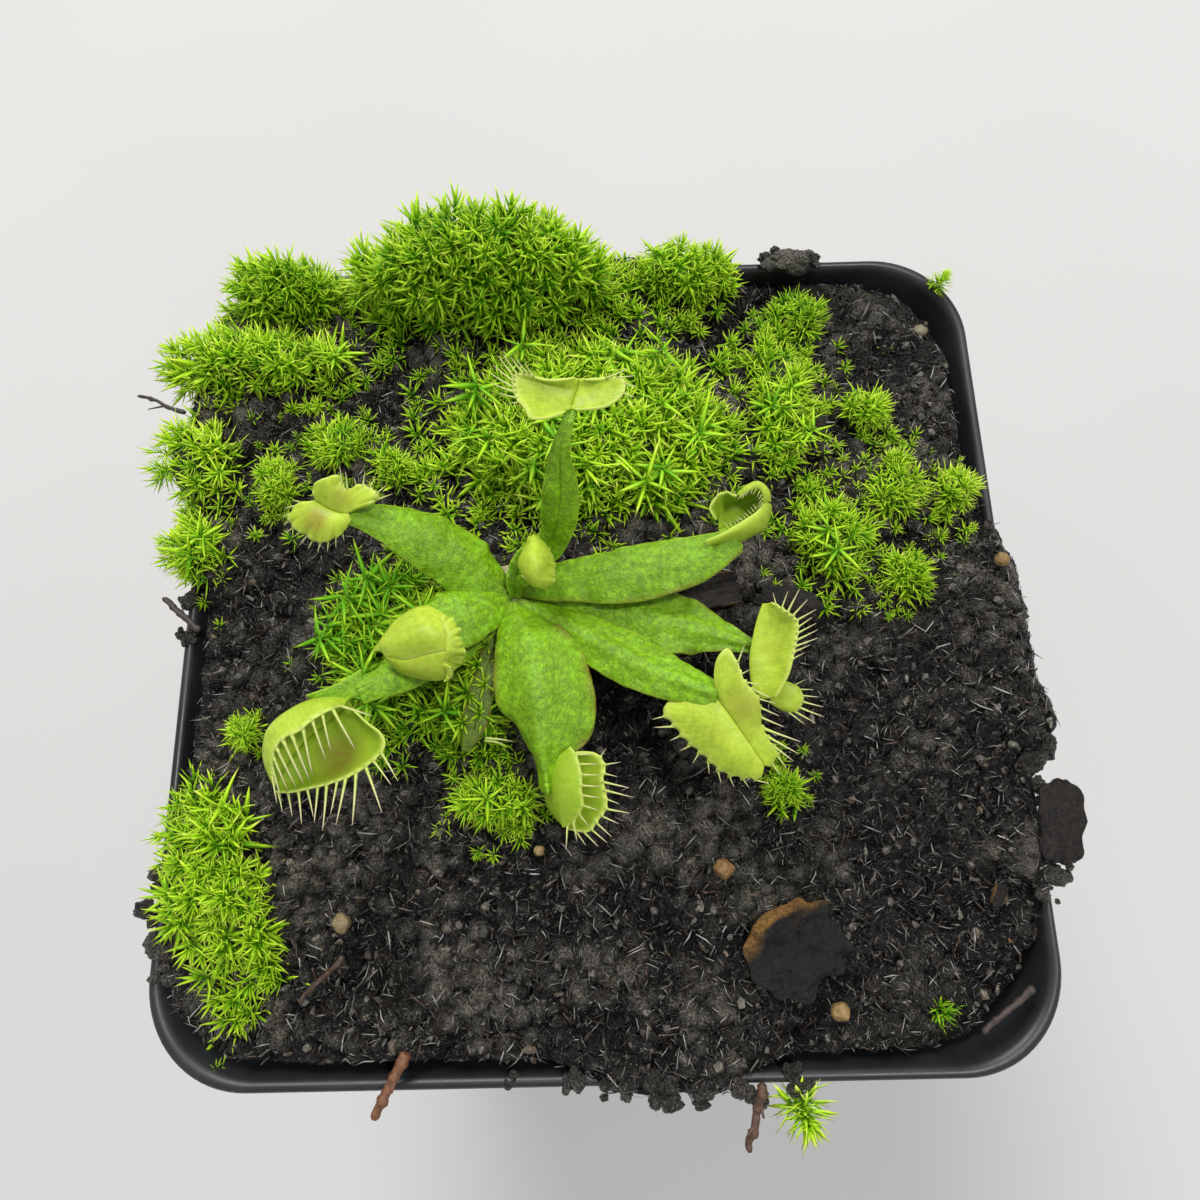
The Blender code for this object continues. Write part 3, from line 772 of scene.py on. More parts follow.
def pot_plastic(settings):
    """Black moulded plastic with a fine grain, dulled in patches by dried water."""
    made = Finish("pot_plastic")
    stain = made.noise(14, 5, 0.65)
    speck = made.noise(0.8, 3, 0.7)
    base = tuple(settings.plastic)
    dusty = tuple(part + 0.012 for part in base)
    return made.set(
        Base_Color=made.ramp(stain, (0.42, base), (0.72, dusty)),
        Roughness=made.ramp(made.weighed((stain, 0.7), (speck, 0.3)), (0.3, 0.32), (0.7, 0.52)),
        Normal=made.bump(made.noise(0.35, 2), 0.12, 0.05),
    )


# ---- Peat ----

PEAT_GRID = 296
# Hollows in the peat: x, y, width and depth.
HOLLOWS = (
    (15.5, 35.5, 4.4, 2.6), (20.5, 40, 3, 1.4), (-30, 27, 3.5, 0.8), (19.5, -34.5, 5.5, 0.7),
    (34, -33, 7, 0.8),
)
# The least height of the peat at the wall, by turn in degrees: it is banked up to the rim in most places.
BRIM = (
    (0, 80.8), (22, 80.2), (45, 79), (62, 79.6), (90, 79.8), (180, 80.6), (208, 81.2),
    (217, 81.2), (227, 79.6), (238, 80.4), (270, 80.6), (296, 80.3), (310, 79.2),
    (322, 79.4), (329, 81.3), (346, 81.3),
)
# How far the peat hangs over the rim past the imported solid, by turn in degrees.
OVERHANG = (
    (0, 0), (203, 0), (207, 1.6), (218, 1.6), (224, 0),
    (318, 0), (327, 2.2), (346, 2), (354, 0),
)
# Lumps of peat that lie on the rim: x, y, z and size.
RIM_LUMPS = (
    (-44.4, -25.6, 80.5, 1.2), (-44.7, -28.6, 80.6, 1.5), (-44.2, -31.6, 80.5, 1.5),
    (-43.2, -34.4, 80.4, 1.2), (44.9, -12, 80.6, 1.4), (45.3, -15.2, 80.8, 1.7), (45.6, -18.6, 80.9, 1.7),
    (45.4, -25.6, 80.8, 1.7), (44.2, -28.6, 80.5, 1.3), (45.8, -22.2, 80.8, 1.6), (-3, -44.4, 80.2, 1.2),
    (1, -44.9, 80.2, 1.5), (5, -45.2, 80.2, 1.6), (9, -45.4, 80.2, 1.7), (13.5, -45.2, 80.2, 1.6),
    (18, -44.6, 80.1, 1.3), (-9, -44.2, 79.9, 0.7), (22.6, 44.8, 81.2, 1.5), (27.2, 44.6, 80.8, 1.2),
    (16, 44.8, 80.8, 1.3), (-44.6, 24, 80.5, 1), (-44.8, 16, 80.4, 1), (-44.6, 4, 80.4, 1.2),
    (-44.4, 0, 80.4, 1.1),
)
EDGE_TURNS = 720
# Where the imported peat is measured: over the rim, just under the rim, and where the wall steps in.
RIM_HEIGHTS = [76 + 0.25 * i for i in range(26)]
NECK_HEIGHT, STEP_HEIGHT = 75, 71
EDGE_LEVEL = 79
# How far the peat stands out over the pot's inside where it counts as spilt.
SPILT = 0.8


def by_turn(table, angle):
    """A value from a table by turns in degrees."""
    turns, values = zip(*table)
    return float(np.interp(math.degrees(angle), turns, values, period=360))


def by_even_turn(values, angle):
    """A value from a list for even turns round the pot."""
    spot = (angle / (2 * math.pi) * EDGE_TURNS) % EDGE_TURNS
    k = int(spot)
    return values[k] + (values[(k + 1) % EDGE_TURNS] - values[k]) * (spot - k)


def clods(x, y, lump):
    """How far the peat stands over its general level here: clods, crumbs and fine grain."""
    place = Vector((x, y, 3.7))
    broad = noise.noise(place / 8)
    ridge = 0.5 - abs(noise.noise(place / 4.2 + Vector((7.1, 0, 0)))) * 1.6
    cell = noise.voronoi(place / 2.1)[0]
    small = noise.voronoi(place / 0.95 + Vector((3, 9, 1)))[0]
    fine = noise.noise(place / 0.55)
    rise = 0.7 * broad + 0.6 * ridge + 0.75 * (0.42 - cell[0]) + 0.38 * (0.4 - small[0]) + 0.14 * fine
    crack = max(0, 0.12 - (cell[1] - cell[0])) * 3
    return lump * (rise - crack)


class FLYTRAP_OT_peat(bpy.types.Operator):
    """Builds the heaped peat, which spills over the rim in places"""

    bl_idname = "flytrap.peat"
    bl_label = "Peat"

    def execute(self, context):
        settings = context.scene.flytrap_peat
        finish = peat_finish(settings)
        self.solid = solid_tree("peat")
        self.measure()
        # These heights also paint shade into the peat's colour: low places darker, lumps paler.
        self.points, self.shade_rises = [], []
        self.add_top(settings.lump / MM)
        faces = loft_faces(PEAT_GRID + 1, PEAT_GRID + 1, closed=False) + self.skirt()
        mesh = face_outwards(make_mesh("peat_bed", self.points, faces, rise=self.shade_rises))
        place_piece("peat_bed", mesh, finish, "peat", "peat")
        place_piece("peat_rim_lumps", rim_lumps(finish), None, "peat")
        return {"FINISHED"}

    def measure(self):
        """Finds how far the peat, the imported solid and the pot's inside reach at each turn."""
        self.reach, self.packed, self.inner = [], [], []
        for i in range(EDGE_TURNS):
            angle = 2 * math.pi * i / EDGE_TURNS
            self.packed.append(max(reach_of(self.solid, angle, z) for z in RIM_HEIGHTS))
            self.reach.append(self.packed[-1] + by_turn(OVERHANG, angle))
            self.inner.append(reach_of(self.solid, angle, NECK_HEIGHT))

    def add_top(self, lump):
        """Adds the points of the peat's top, a square grid pulled out to the peat's edge."""
        stops = [2 * i / PEAT_GRID - 1 for i in range(PEAT_GRID + 1)]
        for v in stops:
            for u in stops:
                ring = max(abs(u), abs(v))
                angle = math.atan2(v, u) % (2 * math.pi)
                cos, sin = math.cos(angle), math.sin(angle)
                far = by_even_turn(self.reach, angle)
                spills = far - by_even_turn(self.inner, angle) > SPILT
                ragged = (0.55 if spills else 0.12) * swell(12 * cos, 12 * sin, 1)
                out = (far + (ragged if ring > 0.9 else 0)) * ring
                x, y = out * cos, out * sin
                inside = min(1, (by_even_turn(self.packed, angle) - 0.45) / max(far * ring, 1e-6))
                found = top_of(self.solid, x * inside, y * inside)
                level = found[0] if found else EDGE_LEVEL
                banked = min(1, max(0, (ring - 0.84) / 0.13))
                level += max(0, by_turn(BRIM, angle) - level) * banked
                rise = clods(x, y, lump)
                for at_x, at_y, spread, depth in HOLLOWS:
                    rise -= depth * math.exp(-((x - at_x) ** 2 + (y - at_y) ** 2) / spread**2)
                near = max(0, (ring - 0.965) / 0.035)
                rise = rise * (1 - 0.5 * near) - (0.9 if spills else 0.35) * near**2
                self.points.append((x, y, level + rise - 0.1))
                self.shade_rises.append(rise)

    def skirt(self):
        """Adds the rings that lead from the peat's edge over the rim and down the wall to the foot."""
        faces = []
        edge = previous = border_of(PEAT_GRID + 1, PEAT_GRID + 1)
        for depth in ("lip", "collar", 74.6, 70.4, 68.6, 36, 2):
            ring = range(len(self.points), len(self.points) + len(edge))
            for k in edge:
                x, y, z = self.points[k]
                angle = math.atan2(y, x) % (2 * math.pi)
                far, wall = by_even_turn(self.reach, angle), by_even_turn(self.inner, angle) + 0.15
                if depth == "lip":
                    out = min(far, math.hypot(x, y)) - 0.15
                    high = z - (0.7 if far - wall > SPILT else 0.8)
                elif depth == "collar":
                    out, high = wall, min(z - 1.2, 79.4)
                else:
                    out = wall if depth > STEP_HEIGHT else reach_of(self.solid, angle, depth) + 0.15
                    high = depth
                self.points.append((out * math.cos(angle), out * math.sin(angle), high))
                self.shade_rises.append(-1)
            faces += strip(previous, ring)
            previous = ring
        self.points.append((0, 0, depth))
        self.shade_rises.append(-1)
        return faces + fan(previous, len(self.points) - 1)


def rim_lumps(finish):
    """The loose lumps on the rim, each a handful of crumbs."""
    shell = Shell("rise")
    dice = random.Random(5)
    core, faces = ball(3)
    for k, (*place, size) in enumerate(RIM_LUMPS):
        for extra in range(9):
            big = size * dice.uniform(0.2, 0.62)
            shift = drawn(dice, (-1, 1), (-1, 1), (-0.5, 0.2)) * size
            stretch = drawn(dice, (0.7, 1.3), (0.7, 1.3), (0.5, 0.9))
            middle = Vector(place) + shift * 0.8
            lump = lumpy(core, 3 * k + extra, 0.7, 0.4)
            shell.add([middle + point * stretch * big for point in lump], faces, rise=0.4)
    return shell.mesh("peat_rim_lumps", [finish])


def peat_finish(settings):
    """Wet peat with painted shade, nearly black in its cracks and brown on its lumps, and small wet
    highlights painted into its colour as pale specks.
    """
    made = Finish("wet_peat")
    grain = made.noise(0.42, 6, 0.78, distortion=2.2)
    patch = made.math("SUBTRACT", made.noise(7, 4, 0.6), 0.5)
    dark, pale = tuple(settings.dark), tuple(settings.pale)
    middle = tuple(0.6 * a + 0.23 * b for a, b in zip(dark, pale))
    # Painted shade: the rise term darkens the peat in its hollows and cracks and lightens it on its lumps.
    level = made.weighed((made.value("rise"), 0.35), (grain, 0.75), (patch, 0.6))
    tone = made.ramp(level, (0.24, dark), (0.46, middle), (0.7, pale))
    film = made.ramp(made.noise(16, 3, 0.5), (0.56, 0), (0.72, 0.35))
    tone = made.blend(film, tone, (0.035, 0.05, 0.012))
    # Painted highlights: pale specks in the base colour stand in for wet sparkle.
    painted_glints = made.ramp(made.cells(0.34), (0.10, 1), (0.2, 0))
    painted_glints = made.times(painted_glints, made.ramp(made.noise(1.6, 3), (0.47, 0), (0.56, 1)))
    speck = made.ramp(made.noise(0.2, 3, 0.6), (0.42, 0.18), (0.5, 0.6), (0.62, 1))
    tone = made.blend(1, tone, speck, "MULTIPLY")
    return made.set(
        Base_Color=made.blend(painted_glints, tone, (0.44, 0.43, 0.41)),
        Roughness=made.ramp(made.noise(1.6, 5, 0.7), (0.42, 0.12), (0.62, 0.6)),
        Normal=made.bump(made.plus(grain, made.times(made.cells(0.45), 0.6)), 1, 0.5),
        Specular_IOR_Level=0.5,
    )


LITTER_LEVEL = 76.5
# How broad and how thick crumbs are for their length.
CRUMBS = ((0.8, 0.7), (0.5, 0.4), (0.35, 0.2), (0.25, 0.2), (0.7, 0.35), (0.4, 0.3))


def crumb_mesh(name, seed, broad, flat):
    """A small angular crumb, about one unit long, in millimetres."""
    dice = random.Random(seed)
    work = bmesh.new()
    bmesh.ops.create_icosphere(work, subdivisions=1, radius=0.5)
    for vertex in work.verts:
        vertex.co *= dice.uniform(0.62, 1.2)
        vertex.co.y *= broad
        vertex.co.z *= flat
    mesh = bpy.data.meshes.new(name)
    work.to_mesh(mesh)
    work.free()
    mesh.transform(Matrix.Scale(MM, 4))
    return mesh


def fibre_mesh(name, seed):
    """A thin bent fibre with a sharp end, about one unit long, that lies along the surface."""
    dice = random.Random(seed)
    points = []
    for x, y, z, thick in (
        (-0.5, 0, 0.02, 0.026), (0, dice.uniform(-0.14, 0.14), dice.uniform(0.03, 0.14), 0.036),
    ):
        points += [(x, y + thick * math.cos(turn), z + thick * math.sin(turn)) for turn in (0.3, 2.4, 4.5)]
    points.append((0.5, dice.uniform(-0.08, 0.08), dice.uniform(0, 0.3)))
    faces = [(0, 1, 2)] + loft_faces(2, 3) + fan(range(3, 6), 6)
    return face_outwards(make_mesh(name, points, faces))


class FLYTRAP_OT_litter(bpy.types.Operator):
    """Strews crumbs and fibres over the peat"""

    bl_idname = "flytrap.litter"
    bl_label = "Crumbs and fibres"

    def execute(self, context):
        settings = context.scene.flytrap_peat
        bed = bpy.data.objects["peat_bed"]
        tree = litter_tree()
        jobs = (
            ("peat_crumbs", [crumb_mesh(f"crumb_{k}", k, *CRUMBS[k]) for k in range(6)], settings.crumbs,
             0.2, 1.5, 0.9, 11, crumb_finish(settings)),
            ("peat_hairs", [fibre_mesh(f"hair_{k}", 60 + k) for k in range(6)], settings.fibres,
             0.4, 1.7, 0.9, 29, fibre_finish(settings)),
            ("peat_fibres", [fibre_mesh(f"fibre_{k}", 40 + k) for k in range(6)], settings.fibres,
             0.6, 2.6, 0.5, 23, bpy.data.materials["peat_fibre"]),
        )
        for name, meshes, density, low, high, tilt, seed, finish in jobs:
            shapes = shape_collection(name + "_shapes", meshes)
            seeds = make_object(name + "_seeds", self.surface(bed))
            mesh = grown(seeds, tree, {
                "Shapes": shapes, "Pieces per square metre": density * 1e6, "Smallest": low,
                "Largest": high, "Tilt": tilt, "Seed": seed, "Finish": finish,
            })
            drop_collection(shapes)
            place_piece(name, mesh, None, "peat")
        return {"FINISHED"}

    def surface(self, bed):
        """The peat's top as an open mesh."""
        work = bmesh.new()
        work.from_mesh(bed.data)
        low = [face for face in work.faces if face.calc_center_median().z < LITTER_LEVEL * MM]
        bmesh.ops.delete(work, geom=low, context="FACES")
        mesh = bpy.data.meshes.new("peat_top")
        work.to_mesh(mesh)
        work.free()
        return mesh


def crumb_finish(settings):
    """Crumbs of peat, from black to brown, some of them wet."""
    made = Finish("peat_crumb")
    dark, pale = tuple(settings.dark), tuple(settings.pale)
    tone = made.ramp(
        made.value("tint"), (0, dark), (0.55, pale), (0.72, (0.11, 0.07, 0.045)), (0.8, dark), (0.95, pale),
        (1, (0.22, 0.15, 0.085)),
    )
    grain = made.noise(0.25, 4, 0.7)
    return made.set(
        Base_Color=made.blend(0.9, tone, made.ramp(grain, (0.4, 0.1), (0.65, 1)), "MULTIPLY"),
        Roughness=made.ramp(made.noise(0.7, 2), (0.45, 0.14), (0.6, 0.7)),
        Normal=made.bump(grain, 0.8, 0.15),
    )


def fibre_finish(settings):
    """Root and sphagnum fibres, from black-brown to pale straw."""
    made = Finish("peat_fibre")
    tone = made.ramp(
        made.value("tint"), (0, (0.008, 0.007, 0.006)), (0.35, (0.040, 0.034, 0.029)),
        (0.58, (0.10, 0.055, 0.034)), (0.66, (0.10, 0.092, 0.08)), (0.85, tuple(settings.fibre)),
        (1, (0.50, 0.48, 0.44)),
    )
    return made.set(
        Base_Color=made.blend(0.4, tone, made.ramp(made.noise(0.5, 2), (0.3, 0.4), (0.7, 1)), "MULTIPLY"),
        Roughness=0.42,
    )


# ---- Moss ----

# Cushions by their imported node: how crowded the shoots are, their size, how green (0) or yellow (1), how
# broken the cushion is, and how far its shoots lean to +X.
CUSHIONS = {
    "moss_back": (1, 1.15, 0.45, 0.08, 0),
    "moss_back_left": (1, 0.95, 0.4, 0.1, -0.2),
    "moss_left": (1, 1, 0.5, 0.15, -0.3),
    "moss_centre": (1, 1.1, 0.5, 0.05, 0),
    "moss_back_right": (1, 0.9, 0.5, 0.15, 0),
    "moss_back_far_right": (0.7, 0.75, 0.3, 0.4, 0),
    "moss_right_tall": (0.7, 0.85, 0.5, 0.42, 0),
    "moss_right_middle": (0.75, 0.85, 0.45, 0.36, 0),
    "moss_right_outer": (0.75, 0.8, 0.55, 0.38, 0),
    "moss_right_upper": (0.8, 0.75, 0.55, 0.4, 0),
    "moss_right_lower": (0.7, 0.65, 0.5, 0.42, 0),
    "moss_right_edge": (0.8, 0.7, 0.6, 0.3, 0.2),
    "moss_left_edge": (0.8, 1.05, 0.6, 0.3, -0.8),
    "moss_left_edge_low": (0.8, 0.9, 0.6, 0.3, -0.7),
    "moss_left_inner": (0.8, 0.6, 0.45, 0.42, 0),
    "moss_left_middle": (0.7, 0.7, 0.45, 0.38, 0),
    "moss_left_small": (0.8, 0.65, 0.45, 0.25, 0),
    # Painted shade: the cushions under the leaves and at the crown get low, dark green tones for the
    # leaves' shadow.
    "moss_under_leaves": (1, 1, 0.2, 0.1, 0),
    "moss_crown": (0.9, 0.9, 0.15, 0.1, 0),
    "moss_front": (0.9, 0.85, 0.45, 0.22, 0),
    "moss_left_front": (1, 1.05, 0.5, 0, -0.15),
    "moss_left_front_small": (0.8, 0.6, 0.4, 0.3, 0),
    "moss_right_front": (0.9, 0.65, 0.3, 0.2, 0),
    "moss_corner": (0.7, 0.6, 0.1, 0.3, 0),
}
# Where a cushion winds: x, y and half width along it.
BEDS = {
    "moss_left_front": (
        (-41.8, -9.5, 2), (-42.3, -13, 2.6), (-42.2, -17, 3.5), (-41, -21, 4), (-39, -24.8, 4.4),
        (-37, -28, 4.8), (-35.4, -31.5, 5), (-35, -34.5, 4.6), (-35.2, -37.5, 3.6),
    ),
}
STRAYS_FOR_EACH_MM = 2.8
CUSHION_FLOOR = 79.6
LOWEST_SIDE_SHOOT = 80.6
# How often a place is tried for each square of the spacing, on a cushion's top and round its sides.
TOP_TRIES, SIDE_TRIES = 110, 30
# How much of a cushion its dark core, stems and painted shade, takes up, how far a shoot's leaves are
# spread along its stem, and how far they lean out, in radians.
CORE_SHARE, STEM_LENGTH, WIDEST_SPREAD = 0.74, 0.75, 1.6
# Single stars outside the rim, by node: size, and how far they lean outwards.
LONE_STARS = {
    "moss_shoot_front": (1.12, (0.1, -0.8, 0.75)),
    "moss_shoot_corner": (0.62, (0.6, 0.5, 0.7)),
}
# Sprigs between the cushions: x, y, size.
SPRIGS = (
    (-24.5, 31, 0.7), (-13.5, 28, 0.75), (-8.5, 30, 0.8), (-20.5, 27, 0.65), (6, 34, 0.85),
    (1, 36, 0.8), (9.5, 35, 0.8), (13, 38.5, 0.7), (17, 26.5, 0.7), (15.5, 31.5, 0.6),
    (27, 30.5, 0.6), (30, 34, 0.55), (36.5, 34, 0.5), (39, 36.5, 0.5), (-17, 14.5, 0.6),
    (-24, 13, 0.55), (-33, 10, 0.5), (17.5, 10, 0.6), (28, 1, 0.55), (38, 8.5, 0.5),
    (36.5, 20, 0.6), (40.5, 8, 0.4), (-19.5, 8.5, 0.8), (-12, 10, 0.75), (2, 7, 0.8),
    (2.7, 42, 0.9), (4.9, 39.9, 0.9), (3.1, 37.4, 0.85), (5.9, 36.5, 0.8), (1.4, 34.9, 0.85),
    (7.8, 42.8, 0.85), (-8.9, 15, 0.9), (-7.4, 18.3, 0.9), (-5, 13.8, 0.85), (-9.4, 11.7, 0.8),
    (-8, 9, 0.8), (-16.9, -3.2, 0.9), (-14.6, -5.8, 0.9), (-12, -8, 0.85), (-14.6, -10.5, 0.85),
    (-9.8, -12.6, 0.8), (18, 4.5, 0.45), (-41, 1, 0.5), (36, -41, 0.5), (35, -37, 0.4),
    (-38, -43, 0.35),
)


# Shoots that have grown up past the old front leaf: x, y, z, size.
OVERGROWTH = (
    (-10.6, -3.6, 88.7, 0.7), (-11.4, -5.8, 89.2, 0.8), (-10.6, -7.6, 89.6, 0.7), (-12, -8.6, 89.6, 0.85),
    (-11, -10.4, 89.6, 0.75), (-12.6, -11.2, 89, 0.8),
)


# A moss leaf's shapes: name, curl and width.
MOSS_LEAVES = (
    ("moss_leaf_up", 0.16, 0.14), ("moss_leaf_flat", -0.02, 0.13), ("moss_leaf_down", -0.18, 0.135),
    ("moss_leaf_broad", 0.06, 0.18),
)


def moss_leaf(name, curl, width):
    """One moss leaf, pointing along +Y with its upper side to +Z, one unit long."""
    points, tip = [], []
    for t, share in ((0, 0.55), (0.3, 1), (0.66, 0.62)):
        half = 0.5 * width * share
        lift = curl * t * t
        points += [(-half, t, lift + 0.25 * half), (half, t, lift + 0.25 * half), (0, t, lift - 0.3 * half)]
        tip += [t] * 3
    points.append((0, 1, curl))
    tip.append(1)
    faces = [(0, 1, 2)] + loft_faces(3, 3) + fan(range(6, 9), 9)
    return face_outwards(make_mesh(name, points, faces, tip=tip))


def covered(node, x, y):
    """Whether a cushion grows here, when its bed winds."""
    bed = BEDS.get(node)
    return not bed or any((x - at_x) ** 2 + (y - at_y) ** 2 < wide**2 for at_x, at_y, wide in bed)


def cushion_core(node, tree, ground, shell):
    """The dark mass under a cushion's shoots, as a low lumpy dome: its stems, and painted shade between
    them.
    """
    low, high, middle = span(node)
    rings, count = 7, 26
    rim = []
    for k in range(count):
        angle = 2 * math.pi * k / count
        out = Vector((math.cos(angle), math.sin(angle)))
        far = max(high.x - low.x, high.y - low.y) * 0.55
        while far > 0.3:
            x, y = middle.x + out.x * far, middle.y + out.y * far
            if covered(node, x, y) and top_of(tree, x, y):
                break
            far -= 0.25
        rim.append(out * far * CORE_SHARE)

    def dome(x, y, share):
        """The core's height at one place and one share of the way out."""
        crown, bed = top_of(tree, x, y), top_of(ground, x, y)
        floor = bed[0] if bed else CUSHION_FLOOR
        return floor + 0.5 * max(0.3, (crown[0] if crown else floor) - floor) * (1 - share**4)

    points = []
    for ring in range(rings):
        share = 1 - ring / rings
        for offset in rim:
            x, y = middle.x + offset.x * share, middle.y + offset.y * share
            points.append((x, y, dome(x, y, share) + 0.5 * noise.noise(Vector((x, y, 5)) / 1.6)))
    faces = loft_faces(rings, count)
    points.append((middle.x, middle.y, dome(middle.x, middle.y, 0)))
    top = len(points) - 1
    faces += fan(range(top - count, top), top)
    for k, offset in enumerate(rim):
        points.append((middle.x + offset.x * 0.8, middle.y + offset.y * 0.8, points[k][2] - 1.4))
    under = range(top + 1, top + 1 + count)
    faces += strip(range(count), under)
    faces.append(tuple(under))
    shell.add(points, faces)


def strewn_shoots(node, tree, crowd, spacing, broken, seed):
    """Places for shoots over a cushion and round its sides, none nearer than the spacing."""
    low, high, middle = span(node)
    wide, deep = high.x - low.x, high.y - low.y
    dice = random.Random(seed)
    spread = spacing / math.sqrt(crowd)
    margin = min(2.4, 0.28 * min(wide, deep))
    kept = []
    for _ in range(int(TOP_TRIES * (wide * deep) / spread**2)):
        x, y = dice.uniform(low.x, high.x), dice.uniform(low.y, high.y)
        out = Vector((x - middle.x, y - middle.y))
        ragged = 0.15 + 1.9 * noise.noise(Vector((x, y, 2)) / 3.4)
        out = out.normalized() * margin * max(0, ragged) if out.length > 1e-6 else out
        if not covered(node, x, y) or not top_of(tree, x + out.x, y + out.y):
            continue
        found = top_of(tree, x, y)
        if not found or noise.noise(Vector((x, y, 9)) / 1.7) > 0.62 - 1.2 * broken:
            continue
        place = Vector((x, y, found[0]))
        apart = spread * (0.86 + 0.5 * noise.noise(place / 1.9))
        if all((place - other[0]).length > apart for other in kept):
            kept.append((place, found[1]))
    sides = (high.x - low.x + high.y - low.y) * (high.z - low.z)
    for _ in range(int(SIDE_TRIES * sides / spread**2)):
        angle = dice.uniform(0, 2 * math.pi)
        out = heading(angle)
        start = Vector((middle.x, middle.y, dice.uniform(low.z + 0.6, high.z))) + out * (high - low).length
        place, normal, _, _ = tree.ray_cast(start, -out)
        if place is None or place.z < LOWEST_SIDE_SHOOT or not covered(node, place.x, place.y):
            continue
        if noise.noise(place / 2.6) < -0.12:
            continue
        if all((place - other[0]).length > 0.9 * spread for other in kept):
            kept.append((place - 0.4 * out, (normal if normal.dot(out) > 0 else -normal)))
    return kept


class FLYTRAP_OT_moss(bpy.types.Operator):
    """Grows the cushions of star moss, shoot by shoot"""

    bl_idname = "flytrap.moss"
    bl_label = "Moss"

    def execute(self, context):
        settings = context.scene.flytrap_moss
        self.leaf, self.count = settings.leaf / MM, settings.leaves
        self.finishes = [moss_finish(settings), moss_core_shade_finish()]
        self.tree = whorl_tree()
        self.shapes = shape_collection("moss_leaves", [moss_leaf(*shape) for shape in MOSS_LEAVES])
        self.ground = solid_tree("peat", "pot")
        for k, (node, (crowd, size, tone, broken, lean)) in enumerate(CUSHIONS.items()):
            tree = solid_tree(node)
            shoots = []
            dice = random.Random(900 + k)
            spacing = settings.spacing / MM * size
            for place, normal in strewn_shoots(node, tree, crowd, spacing, broken, 300 + k):
                axis = (normal * 0.9 + Vector((lean, 0, 0.55))).normalized()
                axis = (axis + drawn(dice, (-0.5, 0.5), (-0.5, 0.5), 0)).normalized()
                big = size * self.leaf * dice.uniform(0.55, 1.15)
                sunk = dice.uniform(0.15, 0.7) * big
                shoots.append((place - axis * sunk, axis, big, tone + dice.uniform(-0.22, 0.22)))
            shoots += self.strays(node, dice, size, tone)
            core = Shell()
            cushion_core(node, tree, self.ground, core)
            self.grow(node + "_tufts", shoots, 50 + k, core, node)
        for k, (node, (size, lean)) in enumerate(LONE_STARS.items()):
            axis, middle = Vector(lean).normalized(), span(node)[2]
            shoots = [(middle, axis, size * self.leaf, 0.75)]
            for turn in (0.5, 1.9, 3.3, 4.9):
                lean = heading(turn, 0.3)
                side = (axis + 0.45 * lean).normalized()
                shoots.append((middle + 0.1 * lean, side, 0.85 * size * self.leaf, 0.7))
            self.grow(node + "_star", shoots, 90 + k, None, node)
        self.grow("moss_sprigs", self.sprigs(random.Random(77)), 130, None)
        drop_collection(self.shapes)
        return {"FINISHED"}

    def strays(self, node, dice, size, tone):
        """Small shoots that have crept out over the peat round a cushion, smaller with distance."""
        low, high, middle = span(node)
        reach = (high - low) / 2
        found = []
        for _ in range(int(STRAYS_FOR_EACH_MM * (reach.x + reach.y))):
            angle = dice.uniform(0, 2 * math.pi)
            far = 0.92 + abs(dice.gauss(0, 0.16))
            gap = abs(dice.gauss(0, 1.5))
            out = heading(angle)
            x, y = middle.x + out.x * (reach.x * far + gap), middle.y + out.y * (reach.y * far + gap)
            bed = top_of(self.ground, x, y)
            if not bed or bed[0] < EDGE_LEVEL or node in BEDS:
                continue
            axis = (UP + out * dice.uniform(-0.1, 0.7)).normalized()
            big = size * self.leaf * dice.uniform(0.45, 0.95) / (1 + 0.2 * gap)
            place = Vector((x, y, bed[0] + 0.2 * big))
            found.append((place, axis, big, tone + dice.uniform(-0.25, 0.2)))
        return found

    def sprigs(self, dice):
        """Shoots between the cushions and over the old leaf."""
        shoots = []
        for x, y, size in SPRIGS:
            for extra in range(3 if size > 0.55 else 1):
                at_x = x + extra * dice.uniform(-2.2, 2.2)
                at_y = y + extra * dice.uniform(-2.2, 2.2)
                found = top_of(self.ground, at_x, at_y)
                if not found:
                    continue
                axis = drawn(dice, (-0.3, 0.3), (-0.3, 0.3), 1).normalized()
                big = size * self.leaf * dice.uniform(0.7, 1.05)
                shoots.append((Vector((at_x, at_y, found[0] + 0.25 * big)), axis, big, 0.4))
        for *place, size in OVERGROWTH:
            lean = drawn(dice, (-0.4, 0.4), (-0.4, 0.4), 1).normalized()
            shoots.append((Vector(place), lean, size * self.leaf, 0.4))
        return shoots

    def grow(self, name, shoots, seed, core, *nodes):
        """One moss piece from its shoots: place, axis, size and tone."""
        dice = random.Random(seed)
        places, axes, sizes, tones = zip(*shoots)
        turns = [dice.uniform(0, 2 * math.pi) for _ in shoots]
        mesh = make_mesh(name + "_seeds", places, [], axis=axes, size=sizes, tint=tones, turn=turns)
        parts = [(grown(make_object(name + "_seeds", mesh), self.tree, {
            "Leaf shapes": self.shapes, "Leaves on a shoot": self.count,
            "Stem length": STEM_LENGTH * MM, "Widest spread": WIDEST_SPREAD, "Seed": seed,
            "Finish": self.finishes[0],
        }), 0)]
        if core:
            parts.append((core.mesh(name + "_core", []), 1))
        mesh = joined(name, parts, self.finishes[:len(parts)], "tip", "tint")
        place_piece(name, mesh, None, "moss", *nodes)


